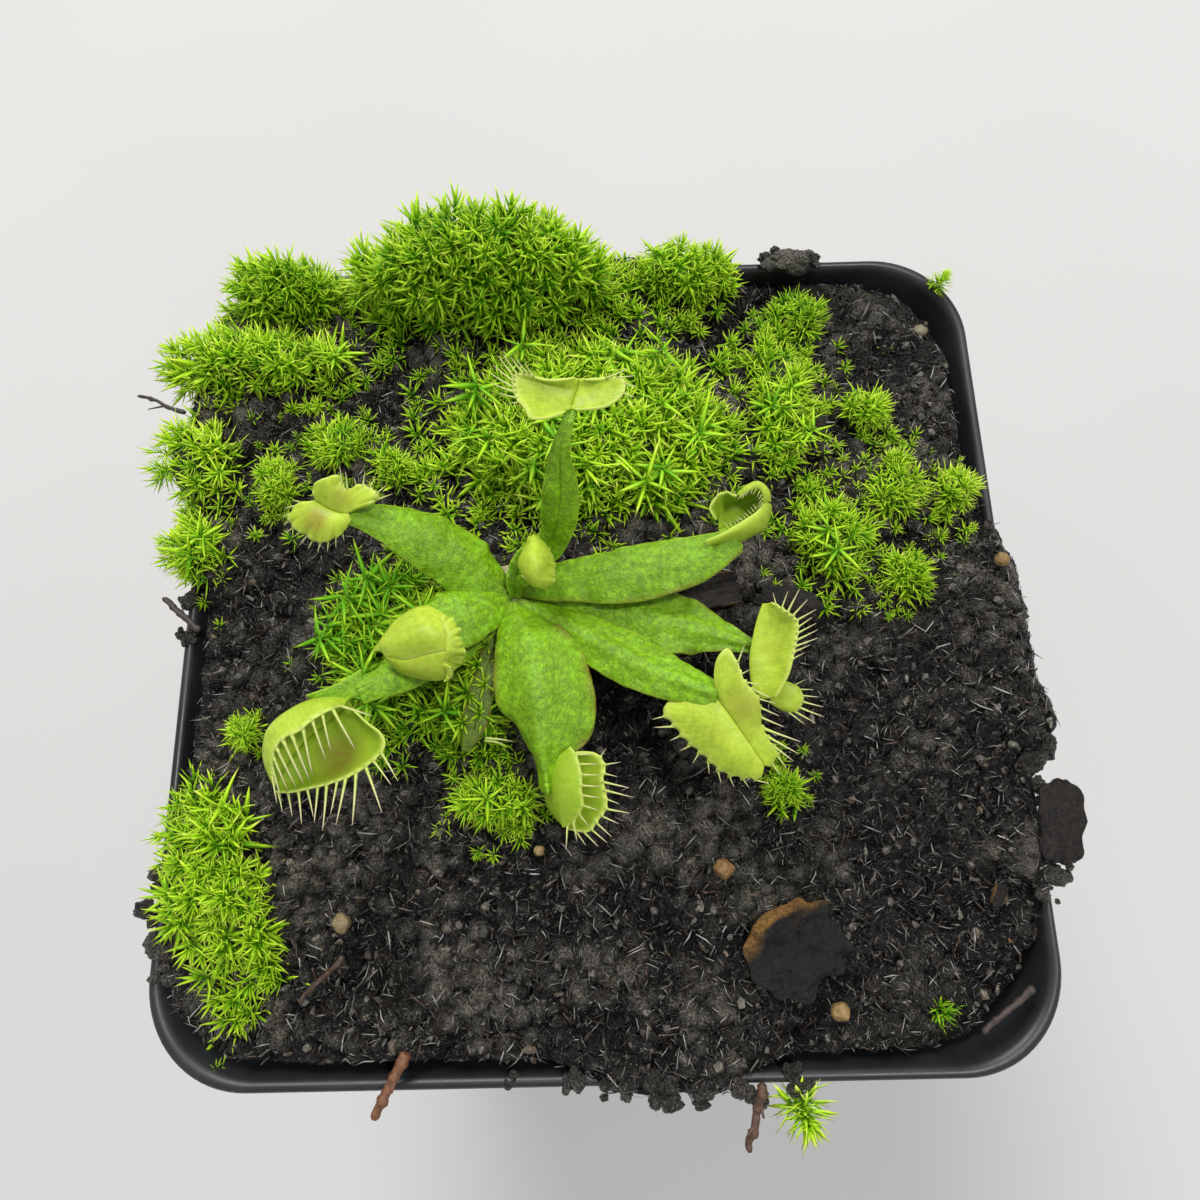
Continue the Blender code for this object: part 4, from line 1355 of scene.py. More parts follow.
def moss_finish(settings):
    """Translucent moss leaves: green at the base, yellow-green at the tip, with wet highlights."""
    made = Finish("star_moss")
    young, old = tuple(settings.young), tuple(settings.old)
    middle = tuple(0.6 * a + 0.4 * b for a, b in zip(young, old))
    shift = made.times(made.math("SUBTRACT", made.value("tint"), 0.5), 0.9)
    along = made.plus(made.value("tip"), shift)
    tone = made.ramp(along, (0, old), (0.45, middle), (0.9, young), (1, (0.72, 0.88, 0.10)))
    return made.set(
        Base_Color=tone, Roughness=0.5, Subsurface_Weight=0.25, Subsurface_Scale=0.5 * MM,
        Subsurface_Radius=(0.6, 1, 0.1), Specular_IOR_Level=0.3,
    )


def moss_core_shade_finish():
    """The dark stems and dead leaves under a moss cushion, near black as painted shade between the shoots.
    """
    made = Finish("moss_stems")
    # Near-black greens: the stems' colour, darkened as painted shade in the gaps between the shoots.
    tone = made.ramp(made.noise(0.9, 5, 0.7), (0.35, (0.008, 0.014, 0.004)), (0.7, (0.05, 0.085, 0.012)))
    return made.set(Base_Color=tone, Roughness=0.8, Normal=made.bump(made.noise(0.5, 4, 0.7), 1, 0.4))


# ---- Leaves and traps ----

BLADE_ROWS, BLADE_COLUMNS = 72, 25
LOBE_ROWS, LOBE_COLUMNS = 96, 15
BLADE_MARK, TRAP_MARK, TOOTH_MARK = 0, 1, 2

# Blades as centre lines: x, y, z, half width to the left, half width to the right. Then how far the
# margins stand over the middle for their width, the bank in degrees, the keel's height, the wave of the
# margins, and how red the left and the right margins are.
BLADES = {
    "leaf_upper_left": (
        ((-8.5, 1.9, 88.4, 1.4, 1.4), (-11, 3.1, 90.4, 2.8, 2.9), (-13.6, 4.9, 92.2, 3, 3),
         (-16.6, 6.3, 93.9, 2.7, 2.7), (-19.6, 7.3, 95, 1.9, 1.8), (-22.3, 7.9, 95.5, 1.1, 1)),
        -0.42, 8, 0, 0.05, 0.1, 0,
    ),
    "leaf_left_young": (
        ((-8.4, 1.4, 88.3, 1.3, 1.3), (-10.2, 0.4, 89.8, 2.4, 2.5), (-12.2, -0.8, 91.2, 3, 3.2),
         (-14.6, -2.4, 92, 2.9, 3), (-16.8, -3.5, 92.2, 1.8, 1.8), (-18.6, -4.4, 92.4, 1, 1)),
        -0.35, 4, 0.1, 0.05, 0, 0,
    ),
    "leaf_lower_left": (
        ((-8.6, 0.4, 88.1, 1, 1), (-12.8, -3.2, 88.7, 1.6, 1.6), (-16.6, -5.2, 89.8, 2, 1.9),
         (-19.6, -6.9, 90.9, 1.9, 1.7), (-22, -8.2, 91.6, 1.3, 1.1)),
        -0.45, 6, 0.15, 0.06, 0, 0,
    ),
    "leaf_lower_right": (
        ((-7.3, 0.7, 88.4, 1.2, 1.2), (-5, -0.9, 89.4, 2, 1.7), (-2.2, -2.7, 90.6, 2.4, 2),
         (1.2, -4.9, 92, 2.7, 2.2), (5, -7.2, 93.3, 2.6, 2.2), (8.6, -8.8, 94.2, 1.9, 1.8),
         (10.9, -9.7, 94.5, 1.1, 1.2)),
        -0.3, -6, 0.5, 0.05, 0, 0.1,
    ),
    "leaf_right": (
        ((-7, 1.4, 88.2, 1, 1), (-4.2, 0.9, 88.8, 2, 2), (-0.8, 0.2, 89.3, 2.9, 3),
         (2.6, -0.9, 89.8, 3.4, 3.3), (6.2, -2, 90.3, 3.5, 3.2), (10.2, -3.2, 90.8, 2.9, 2.7),
         (13.6, -4.5, 91.4, 1.8, 1.6), (14.6, -5, 91.8, 0.7, 0.7)),
        -0.12, -4, 0.55, 0.16, 0.35, 0.5,
    ),
    "leaf_upper_right": (
        ((-7.2, 2.3, 88.4, 1.2, 1.2), (-5.2, 2.3, 89.8, 1.8, 2), (-2.4, 2.3, 91, 2.1, 2.5),
         (2, 2.3, 92.3, 2.5, 3), (7.4, 2.8, 93.2, 2.6, 2.8), (11, 3.9, 93.8, 2, 2.4),
         (13.2, 5.1, 94, 1, 1.7)),
        -0.22, -3, 0.2, 0.05, 0, 0.55,
    ),
    "leaf_top": (
        ((-7.9, 2.6, 88.2, 1, 1), (-6.3, 4.2, 89.6, 1.4, 1.4), (-3.9, 5.6, 92.4, 1.6, 1.6),
         (-2.7, 7.6, 97.6, 1.8, 1.8), (-2.4, 10.2, 101.6, 1.5, 1.5), (-1.7, 12.2, 103.5, 0.8, 0.8),
         (-1.2, 13.5, 104, 0.4, 0.4)),
        -0.2, 0, 0, 0.05, 0, 0,
    ),
    "leaf_centre": (
        ((-7.7, 1, 88.7, 0.5, 0.5), (-7.5, 2.4, 90.4, 0.9, 0.9), (-6.6, 3.9, 92, 1, 1.1),
         (-5.7, 4.9, 93.2, 0.6, 0.7)),
        0.3, 0, 0, 0.05, 0, 0,
    ),
    "leaf_old_front": (
        ((-8.8, -1.5, 88.1, 0.5, 0.5), (-10, -4.4, 88.4, 1, 1), (-10.8, -7.8, 89, 1.1, 1.1),
         (-11.4, -11, 88.9, 1.2, 1.3), (-12.1, -12.9, 88.3, 1, 1.2), (-12.4, -13.7, 88, 0.3, 0.4)),
        -0.2, 0, 0, 0.1, 1, 0.8,
    ),
}
# The widest blade, by its left margin, its keel and its right margin.
FRONT_BLADE = (
    ((-8.6, 0.6, 88.2), (-9.2, -1.6, 89), (-9.3, -3.8, 90.6), (-9.3, -6.2, 91.4), (-9.3, -8.2, 91.4),
     (-8.9, -10, 91), (-7.3, -11.6, 90.9), (-6.5, -13.2, 90.7), (-5.6, -14.8, 90.4), (-5.3, -16.4, 90.2),
     (-5, -17.7, 90.2)),
    ((-7.8, 0.7, 88.6), (-7.2, -1.4, 90.6), (-6.1, -3.8, 92.4), (-5.3, -7, 93.4), (-5.2, -10, 93.4),
     (-5, -13, 92.6), (-4.7, -15.4, 91.9), (-4.4, -17.9, 91.6)),
    ((-7, 0.6, 88.3), (-5.6, -1, 89.4), (-3.4, -2.4, 91), (-1.5, -4.4, 91.4), (-0.5, -7, 91.4),
     (0, -9.4, 91.2), (-0.2, -11.9, 91), (-1.2, -13.7, 91), (-3, -14.9, 90.9), (-3.8, -16.4, 90.8),
     (-3.9, -17.7, 90.6)),
)
EYE = CAMERA_PLACE


def seen_on(level, *knots):
    """Knots set out on a level plane, each slid along the eye's line of sight to its own height."""
    placed = []
    for x, y, z in knots:
        share = (EYE[2] - z) / (EYE[2] - level)
        placed.append((EYE[0] + (x - EYE[0]) * share, EYE[1] + (y - EYE[1]) * share, z))
    return tuple(placed)


def even_line(knots, count):
    """A smooth curve through the knots, as points at even distances."""
    dense = smooth_line(knots, 24 * len(knots))
    walked = np.concatenate(([0], np.cumsum(np.linalg.norm(np.diff(dense, axis=0), axis=1))))
    stops = np.linspace(0, walked[-1], count)
    return np.stack([np.interp(stops, walked, dense[:, axis]) for axis in range(3)], axis=1)


def woven(curves, rows, columns, bulge=(0, 0, 0)):
    """A grid of points whose rows run along the curves and whose columns run from the first to the last."""
    lines = np.array([even_line(curve, rows) for curve in curves])
    if len(curves) == 2:
        share = np.linspace(0, 1, columns)[None, :, None]
        grid = lines[0][:, None] * (1 - share) + lines[1][:, None] * share
    else:
        grid = np.array([smooth_line(lines[:, i], columns) for i in range(rows)])
    run = np.linspace(0, 1, rows)[:, None, None]
    side = np.linspace(0, 1, columns)[None, :, None]
    swelling = np.array(bulge) * np.sin(math.pi * side)
    return grid + swelling * np.sin(math.pi * np.clip(run, 0.02, 0.98)) ** 0.6


def grid_normals(grid, inside):
    """Unit normals of a grid, on the side that a direction points to."""
    normals = np.cross(np.gradient(grid, axis=0), np.gradient(grid, axis=1))
    lengths = np.linalg.norm(normals, axis=2, keepdims=True)
    normals = normals / np.maximum(lengths, 1e-9)
    return normals if (normals @ np.array(inside)).sum() >= 0 else -normals


def add_sheet(shell, grid, thick, inside, mark, **values):
    """Adds a thin closed sheet round a grid, thinner at its edges. Its inner side has inner at 1."""
    rows, columns = grid.shape[:2]
    normals = grid_normals(grid, inside)
    run = np.abs(np.linspace(-1, 1, rows))[:, None]
    side = np.abs(np.linspace(-1, 1, columns))[None, :]
    edge = np.maximum(run**6, side**4)
    half = (0.5 * thick * (1 - 0.6 * edge))[:, :, None]
    points = np.concatenate([(grid + way * half).reshape(-1, 3) for way in (normals, -normals)])
    under = rows * columns
    faces = loft_faces(rows, columns, closed=False)
    faces += [tuple(under + i for i in reversed(face)) for face in faces]
    border = border_of(rows, columns)
    faces += strip(border, [under + i for i in border])
    both = {
        key: list(np.tile(np.broadcast_to(value, (rows, columns)).ravel(), 2))
        for key, value in values.items()
    }
    both["inner"] = [1] * under + [0] * under
    shell.add(points, faces, mark, **both)


def puckered(grid, inside, amount, seed):
    """Lifts and sinks a grid a little, as between the small veins of a leaf."""
    normals = grid_normals(grid, inside)
    lifted = grid.copy()
    for i in range(grid.shape[0]):
        for j in range(grid.shape[1]):
            place = Vector(grid[i, j])
            rise = noise.noise(place / 1.7 + Vector((seed, 0, 0))) * 1.6
            rise += noise.noise(place / 0.62 + Vector((0, seed, 0))) * 0.7
            lifted[i, j] += normals[i, j] * amount * rise
    return lifted


def add_blade(shell, name):
    """A blade that follows its centre line, with a keel, a bank and waved margins."""
    line, cup, bank, keel, wave, red_left, red_right = BLADES[name]
    seed = float(len(name)) + line[1][0]
    middle = even_line([knot[:3] for knot in line], BLADE_ROWS)
    spots = np.linspace(0, 1, BLADE_ROWS)
    reach = smooth_line([(k[3], k[4], 0) for k in line], BLADE_ROWS)
    across = np.linspace(-1, 1, BLADE_COLUMNS)
    grid = np.zeros((BLADE_ROWS, BLADE_COLUMNS, 3))
    tilt = math.radians(bank)
    for i in range(BLADE_ROWS):
        ahead = Vector(middle[min(i + 1, BLADE_ROWS - 1)] - middle[max(i - 1, 0)]).normalized()
        right = ahead.cross(UP).normalized()
        up = right.cross(ahead)
        side = right * math.cos(tilt) - up * math.sin(tilt)
        over = up * math.cos(tilt) + right * math.sin(tilt)
        for j, share in enumerate(across):
            half = max(0.12, reach[i][1] if share > 0 else reach[i][0])
            lift = cup * half * (abs(share) ** 1.8 - 0.3)
            lift += keel * math.exp(-((share / 0.3) ** 2)) - 0.16 * math.exp(-((share / 0.09) ** 2))
            ripple = math.sin(9 * math.pi * spots[i] + seed + (2 if share > 0 else 0))
            ripple += 0.6 * math.sin(23 * math.pi * spots[i] + 2 * seed)
            lift += wave * half * abs(share) ** 3 * ripple
            grid[i, j] = Vector(middle[i]) + side * (half * share) + over * lift
    red = np.where(across < 0, red_left, red_right) * np.abs(across) ** 5
    finish_blade(shell, grid, across, red, seed)


def finish_blade(shell, grid, across, red, seed):
    """Puckers a blade's grid and adds it with its red margins."""
    run = np.linspace(0, 1, len(grid))[:, None]
    grid = puckered(grid, UP, 0.11, seed)
    patchy = np.array([[0.5 + noise.noise(Vector(point) / 2.2) for point in row] for row in grid])
    add_sheet(
        shell, grid, 0.5, UP, BLADE_MARK, side=np.abs(across)[None, :], run=run,
        flush=np.clip(red[None, :] * (0.5 + patchy), 0, 1),
    )


def add_front_blade(shell):
    """The broad front blade, with a raised keel and wings that fall away from it."""
    grid = woven(FRONT_BLADE, BLADE_ROWS, BLADE_COLUMNS)
    across = np.linspace(-1, 1, BLADE_COLUMNS)
    for i in range(BLADE_ROWS):
        for j, share in enumerate(across):
            ripple = math.sin(15 * math.pi * i / BLADE_ROWS + (1.5 if share > 0 else 0))
            grid[i, j, 2] += 0.22 * abs(share) ** 3 * ripple + 0.35 * math.exp(-((share / 0.2) ** 2))
    finish_blade(shell, grid, across, np.where(across > 0, 0.75, 0.45) * np.abs(across) ** 4, 4)


class Trap:
    """A trap under way, whose knots are set out on one level: its lobes go to the leaf's shell, and its
    teeth's seats are kept for later."""

    def __init__(self, shell, level):
        self.shell, self.level = shell, level
        self.seats = []

    def lobe(self, *curves, inside=UP, bulge=(0, 0, 0), tips=(), first=0.06, last=0.96,
             flush=0, thick=0.38, scallop=0.16, curl=-UP, frill=0, green=0, mark=TRAP_MARK):
        """One lobe from its hinge to its margin, with a tooth for each tip along the margin."""
        placed = [seen_on(self.level, *curve) for curve in curves]
        grid = woven(placed, LOBE_ROWS, LOBE_COLUMNS, bulge)
        seats = np.linspace(first, last, len(tips)) if len(tips) > 1 else [0.5 * (first + last)] * len(tips)
        run = np.linspace(0, 1, LOBE_ROWS)
        outward = grid[:, -1] - grid[:, -3]
        outward = outward / np.maximum(np.linalg.norm(outward, axis=1, keepdims=True), 1e-6)
        if len(tips):
            spikes = sum(np.exp(-(((run - seat) / 0.011) ** 2)) for seat in seats)
            grid[:, -1] += outward * (scallop * spikes)[:, None]
            grid[:, -2] += outward * (0.35 * scallop * spikes)[:, None]
        if frill:
            normals = grid_normals(grid, inside)
            ripple = np.sin(run * 46) + 0.7 * np.sin(run * 71 + 1)
            side = np.linspace(0, 1, LOBE_COLUMNS)[None, :, None] ** 4
            grid = grid + normals * side * (frill * ripple)[:, None, None]
        grid = puckered(grid, inside, 0.035, self.level + len(self.seats))
        centre = grid[LOBE_ROWS // 2, LOBE_COLUMNS // 2]
        away = np.linalg.norm(grid - centre, axis=2)
        blush = flush * np.exp(-((away / (0.4 * away.max())) ** 2))
        add_sheet(
            self.shell, grid, thick, inside, mark, run=run[:, None] if mark == TRAP_MARK else 0.5,
            side=np.linspace(0, 1, LOBE_COLUMNS)[None, :], flush=np.clip(blush, 0, 1), green=green,
        )
        for seat, tip in zip(seats, seen_on(self.level, *tips)):
            row = int(round(seat * (LOBE_ROWS - 1)))
            base = Vector(grid[row, -1] - 0.25 * outward[row])
            aim = Vector(tip) - base
            self.seats.append((base, aim.normalized(), Vector(curl), aim.length))

    def comb(self, curve, count, aim, low, high, curl=UP, seed=1):
        """Short even teeth along a curve, such as a rolled margin."""
        dice = random.Random(seed)
        line = even_line(seen_on(self.level, *curve), count)
        for base in line:
            lean = Vector(aim) + drawn(dice, *[(-0.2, 0.2)] * 3)
            self.seats.append((Vector(base), lean.normalized(), Vector(curl), dice.uniform(low, high)))


def trap_lower_left(trap):
    """The largest trap: open, its lobes like a clam's, with long crossed teeth."""
    hinge = ((-22.4, -9.4, 90.6), (-24.6, -11.2, 89.8), (-26.9, -13.4, 89.5), (-28.7, -16.2, 89.6))
    trap.lobe(
        hinge,
        ((-22.6, -9, 91.6), (-24.6, -8.9, 92.2), (-26.7, -9.3, 92.6), (-28.9, -10.6, 92.6),
         (-29.9, -12.3, 92.4), (-29.8, -14.3, 92), (-28.9, -16.6, 91.2)),
        ((-23, -9.6, 92.8), (-24.2, -9.9, 94.2), (-25.8, -10.8, 94.8), (-27, -11.8, 95),
         (-28.2, -12.3, 94.8), (-29, -13.2, 94.3), (-29.2, -14.8, 93.2), (-28.8, -16.6, 92)),
        inside=(0.6, -0.6, 0), first=0.04, last=0.9, green=0.35,
        tips=((-20.6, -10.5, 95), (-21.9, -13.5, 94.6), (-24.1, -13.6, 94.4), (-24.5, -14.4, 94.2),
              (-25.6, -15.8, 94), (-25.8, -16.3, 93.8), (-26.3, -16.6, 93.6), (-27, -16.8, 93.4),
              (-27.7, -17.1, 93), (-28.3, -17.6, 92.6), (-28.6, -18.2, 92.2)),
    )
    trap.lobe(
        hinge,
        ((-22.2, -10, 91.6), (-21, -11, 92), (-19.4, -12.3, 92.2), (-19.2, -13.5, 92.1),
         (-20.1, -14.6, 91.8), (-21.7, -15.7, 91.5), (-23.6, -16.4, 91.2), (-25.6, -16.9, 90.9),
         (-27.4, -17.2, 90.6), (-28.7, -17.1, 90.3)),
        inside=(-0.2, 0.2, 1), bulge=(0.5, -0.5, -1.1), flush=0.8, first=0.34, last=0.985, green=0.75,
        tips=((-17.7, -16.5, 92.4), (-18.3, -16.8, 92.3), (-19, -19.2, 92.2), (-21.6, -20.2, 92),
              (-23.05, -20.1, 91.8), (-23.6, -19.2, 91.6), (-24.2, -20.6, 91.5), (-25, -19.9, 91.4),
              (-25.1, -19.4, 91.2), (-26.1, -20, 91), (-27, -19.3, 90.8), (-27.9, -18.9, 90.6)),
        curl=UP,
    )
    trap.lobe(
        ((-21.4, -8.7, 91.2), (-23.6, -9.2, 91.3), (-25.8, -9.1, 91.4)),
        ((-21.6, -6.2, 91.6), (-24, -7.6, 91.8), (-26.6, -8.5, 91.9)),
        thick=0.35, mark=BLADE_MARK,
    )


def trap_lower_right(trap):
    """An open trap whose lobes lie nearly flat."""
    hinge = ((10.7, -9.7, 94.4), (11.8, -11.4, 94.4), (13.2, -13.6, 94), (14.6, -15.9, 93.4))
    trap.lobe(
        hinge,
        ((10.4, -9.4, 94.3), (9.2, -9, 94), (7.4, -9.5, 93.6), (6.05, -10.9, 93.3), (6.9, -12.2, 93.2),
         (8, -13.6, 93), (9.3, -14.8, 92.8), (10.9, -16.3, 92.6), (12.9, -16.9, 92.6),
         (14.3, -16.9, 92.8)),
        bulge=(0, 0, 0.35), flush=0.15, first=0.36, last=0.97, scallop=0.5,
        tips=((5, -11.7, 93.2), (5.1, -12.4, 93.1), (6.5, -13.6, 93), (7.3, -14.5, 92.8),
              (8.4, -15.6, 92.6), (9.8, -16.6, 92.4), (10.8, -17.4, 92.3), (11.9, -17.7, 92.3),
              (13.2, -17.8, 92.3), (15, -17.5, 92.6)),
    )
    trap.lobe(
        hinge,
        ((10.8, -9.2, 94.8), (10.7, -7.8, 95.4), (11.1, -6.3, 95.9), (12.1, -5.5, 96.2), (12.9, -6.9, 96),
         (13.4, -8.5, 95.7), (14.4, -9.8, 95.2), (14.6, -11.2, 94.6), (14.6, -12.4, 94.2),
         (15.2, -13.8, 93.9), (15.8, -14.9, 93.6), (15, -16, 93.2)),
        bulge=(0, 0, 0.15), flush=0.45, first=0.36, last=0.98, scallop=0.3,
        tips=((13.6, -5.2, 96.6), (14.1, -7.4, 96.4), (14.8, -8.9, 96), (15.6, -10.1, 95.6),
              (16, -10.6, 95.2), (16.2, -11.7, 95), (16.6, -12.7, 94.8), (17.9, -14, 94.6),
              (17.6, -15, 94.2), (17.1, -15.6, 93.8), (16.5, -16.2, 93.4), (15.9, -16.8, 93.2)),
        curl=UP,
    )


def trap_right(trap):
    """A trap seen from its side, with a small second lobe below."""
    trap.lobe(
        ((15.7, -1.2, 94), (15.1, -2.6, 93.6), (14.5, -4.6, 93.2), (14.1, -6.6, 92.8), (14.2, -8.8, 92.4),
         (15, -10, 92)),
        ((16.6, -1.1, 94.8), (18, -2.1, 95.2), (18.8, -3, 95.2), (18.6, -4.6, 94.9), (18.2, -6, 94.5),
         (17.8, -7.4, 94.1), (17.2, -8.6, 93.6), (16.3, -9.9, 93)),
        bulge=(0.2, 0, -0.6), flush=0.2, first=0.05, last=0.62,
        tips=((16.7, -0.2, 95), (18.1, -0.1, 95.5), (19.2, 0.1, 95.7), (19.9, -0.9, 95.8),
              (20.6, -1.9, 95.8), (20.2, -2.6, 95.7), (20.5, -3.2, 95.6), (20.6, -3.8, 95.5),
              (20.5, -4.6, 95.4), (19.8, -5.2, 95.2), (19.2, -5.9, 95)),
        curl=UP,
    )
    trap.lobe(
        ((16.2, -8.4, 91.6), (15.9, -9.4, 91.4), (15.6, -10.4, 91.2)),
        ((17.4, -8.5, 91.8), (18.4, -9.1, 91.8), (18.7, -10.2, 91.6), (18, -11.2, 91.2),
         (16.8, -11.1, 90.9)),
        bulge=(0, 0, 0.3), flush=0.1, first=0.16, last=0.9,
        tips=((19, -8.4, 92.2), (19.7, -9.3, 92.2), (20.1, -10, 92.1), (20.4, -10.9, 92),
              (20.4, -11.8, 91.8), (19.6, -12.3, 91.5), (18.6, -12.4, 91.2)),
        curl=UP,
    )


def trap_upper_left(trap):
    """A wide open trap with a frilled, reddish lobe."""
    hinge = ((-22.2, 7.6, 95.9), (-23.2, 7.7, 95.7), (-24.3, 8.2, 95.6), (-25.4, 8.9, 95.6))
    trap.lobe(
        hinge,
        ((-22, 7, 95.7), (-22.4, 6.1, 95.3), (-23.3, 5.3, 95), (-24.8, 4.85, 94.8), (-25.9, 5.5, 94.8),
         (-27.3, 6.4, 95), (-27.7, 7.5, 95.3), (-27.2, 8.5, 95.6), (-26.2, 8.7, 95.7), (-25.5, 8.8, 95.7)),
        bulge=(0, 0, 0.5), flush=0.9, first=0.14, last=0.9, frill=0.1,
        tips=((-22.6, 4.9, 94.6), (-23.3, 4.2, 94.4), (-24.1, 3.9, 94.3), (-25, 3.8, 94.2),
              (-25.9, 4.2, 94.2), (-26.6, 4.9, 94.3), (-27.3, 5.4, 94.4), (-28, 5.9, 94.6),
              (-28.3, 6.6, 94.8), (-28.5, 7.4, 95.1), (-28.3, 8.3, 95.5), (-27.6, 9.1, 95.8)),
        curl=(0.3, 0.2, -1),
    )
    trap.lobe(
        hinge,
        ((-22, 8.1, 96.1), (-20.6, 8.4, 96.6), (-19.5, 9.2, 97), (-20.6, 10.2, 97), (-21.6, 10.3, 96.7),
         (-22.4, 9.9, 96.4), (-22.9, 10.4, 96.6), (-23.4, 11.4, 97), (-24.6, 11.2, 97),
         (-25.6, 10.6, 96.7), (-25.6, 9.4, 96.1)),
        bulge=(0, 0, 0.25), flush=0.5, first=0.22, last=0.62, frill=0.12,
        tips=((-18.2, 9.4, 97.4), (-18.8, 10.3, 97.5), (-19.9, 11.2, 97.5), (-20.9, 11.7, 97.3),
              (-21.9, 11.2, 97.1), (-22.7, 11.7, 97.2), (-23.3, 12.3, 97.4)),
        curl=(0, -0.3, 1),
    )


def trap_left_young(trap):
    """A young trap that is still folded shut like a bud."""
    fold = ((-11.7, -5.1, 94.6), (-13.4, -5.1, 95.2), (-15.2, -5.4, 95.2), (-17, -5.8, 94.6),
            (-18.9, -5.4, 93.6))
    trap.lobe(
        ((-15.1, -0.8, 93.9), (-16.5, -1.1, 94), (-18, -2.1, 93.8), (-19.1, -3.6, 93.4), (-20, -5, 93)),
        ((-12.9, -2.3, 94.9), (-14.8, -3, 96.2), (-16.6, -3.5, 96.1), (-18.1, -4.2, 95),
         (-19.3, -5, 93.4)),
        fold, thick=0.4, frill=0, flush=0.1,
    )
    trap.lobe(
        fold,
        ((-11.8, -6, 93.6), (-13.4, -6.7, 94), (-15.2, -6.8, 94), (-17, -6.7, 93.6), (-18.5, -6, 93)),
        ((-12.6, -6.8, 92.6), (-13.7, -7.7, 92.4), (-15.3, -7.6, 92.2), (-17, -7.1, 92.1),
         (-18.1, -6.3, 92.2)),
        inside=(0, -1, 0.6), thick=0.4,
    )
    trap.lobe(
        ((-13.9, -6, 94.6), (-13.4, -6.5, 94.4), (-13, -7, 94)),
        ((-12.9, -6.6, 94.8), (-12.8, -7.4, 94.2), (-13.3, -7.9, 93.6)),
        thick=0.35, frill=0.15,
    )
    rim = ((-14.8, -1.9, 94.9), (-13.6, -2, 95.1), (-12.8, -2.2, 95.1), (-12.2, -3.2, 95.1),
           (-12, -4.2, 94.9), (-11.7, -5.2, 94.6), (-12, -6.1, 94), (-12.7, -6.5, 93.6))
    trap.lobe(
        ((-15, -2.8, 95.4), (-13.8, -3.2, 95.7), (-13.5, -4.4, 95.6), (-13.4, -5.4, 95.2),
         (-13.8, -6.2, 94.4)),
        rim, thick=0.4, frill=0.22, bulge=(0, 0, 0.15),
    )


def trap_upper_right(trap):
    """A trap with its margins rolled inwards, and short teeth along the rolls."""
    hinge = ((11.9, 5.8, 92.8), (13.3, 6.3, 92), (14.9, 7.1, 92), (16.3, 8.4, 92.6))
    trap.lobe(
        hinge,
        ((12, 7.2, 92.6), (13, 8.1, 91.9), (14.8, 8.8, 92), (16.5, 9, 92.9)),
        ((11.7, 6.8, 93.8), (11.2, 7.9, 94.3), (12, 9.2, 94.8), (13, 9.5, 95), (13.7, 9.1, 95),
         (14.6, 9.9, 95.3), (15.8, 10.3, 95.3), (16.7, 9.6, 94.9), (16.9, 8.8, 94.2)),
        flush=0.12, first=0.3, last=0.5, green=0.75,
        tips=((12.1, 10, 95.2), (12.7, 10.1, 95.4), (13.3, 9.8, 95.4)),
        curl=UP,
    )
    trap.lobe(
        ((13.9, 9.3, 95.2), (14.7, 10, 95.5), (15.8, 10.4, 95.5), (16.8, 9.6, 95.2), (17, 8.4, 94.8)),
        ((14.2, 8.9, 95.6), (14.9, 9.5, 96), (15.8, 9.8, 96), (16.3, 9.2, 95.8), (16.3, 8.4, 95.3)),
        bulge=(0.1, 0.1, 0.3), thick=0.35,
    )
    trap.comb(
        ((14.3, 9.2, 95.8), (15, 9.6, 96.1), (15.8, 9.7, 96.2), (16.2, 9.1, 96), (16.2, 8.4, 95.6)),
        9, (-0.5, -0.7, -0.5), 0.45, 0.7, seed=3,
    )
    roll = ((10.6, 4.8, 95), (11.9, 5.3, 95.4), (13.2, 6, 95.5), (14.4, 6.7, 95.4), (15.6, 7.5, 95.2),
            (16.4, 8.5, 95))
    trap.lobe(
        hinge,
        ((12.2, 4.9, 92.4), (13.4, 4.5, 92.2), (14.9, 5.2, 92.6), (16.2, 5.9, 93.2), (16.9, 8, 94)),
        ((11, 4.3, 94.7), (12.6, 5.1, 95.1), (14.3, 5.8, 95), (15.8, 6.8, 94.8), (16.9, 8.2, 94.8)),
        roll, inside=(-0.2, 0.8, 0.3), thick=0.42, green=0.4,
    )
    trap.comb(
        ((12.8, 6, 95.4), (13.6, 6.3, 95.5), (14.6, 6.9, 95.4), (15.6, 7.7, 95.2)),
        10, (-0.6, 0.7, 0.1), 0.35, 0.6, seed=5,
    )
    trap.lobe(
        ((12.4, 5.4, 93.5), (12.9, 4, 93.3), (12.8, 3, 93.2)),
        ((13.2, 4.9, 93.6), (14.1, 4.1, 93.5), (13.1, 2.8, 93.2)),
        thick=0.3, scallop=0, mark=BLADE_MARK,
    )


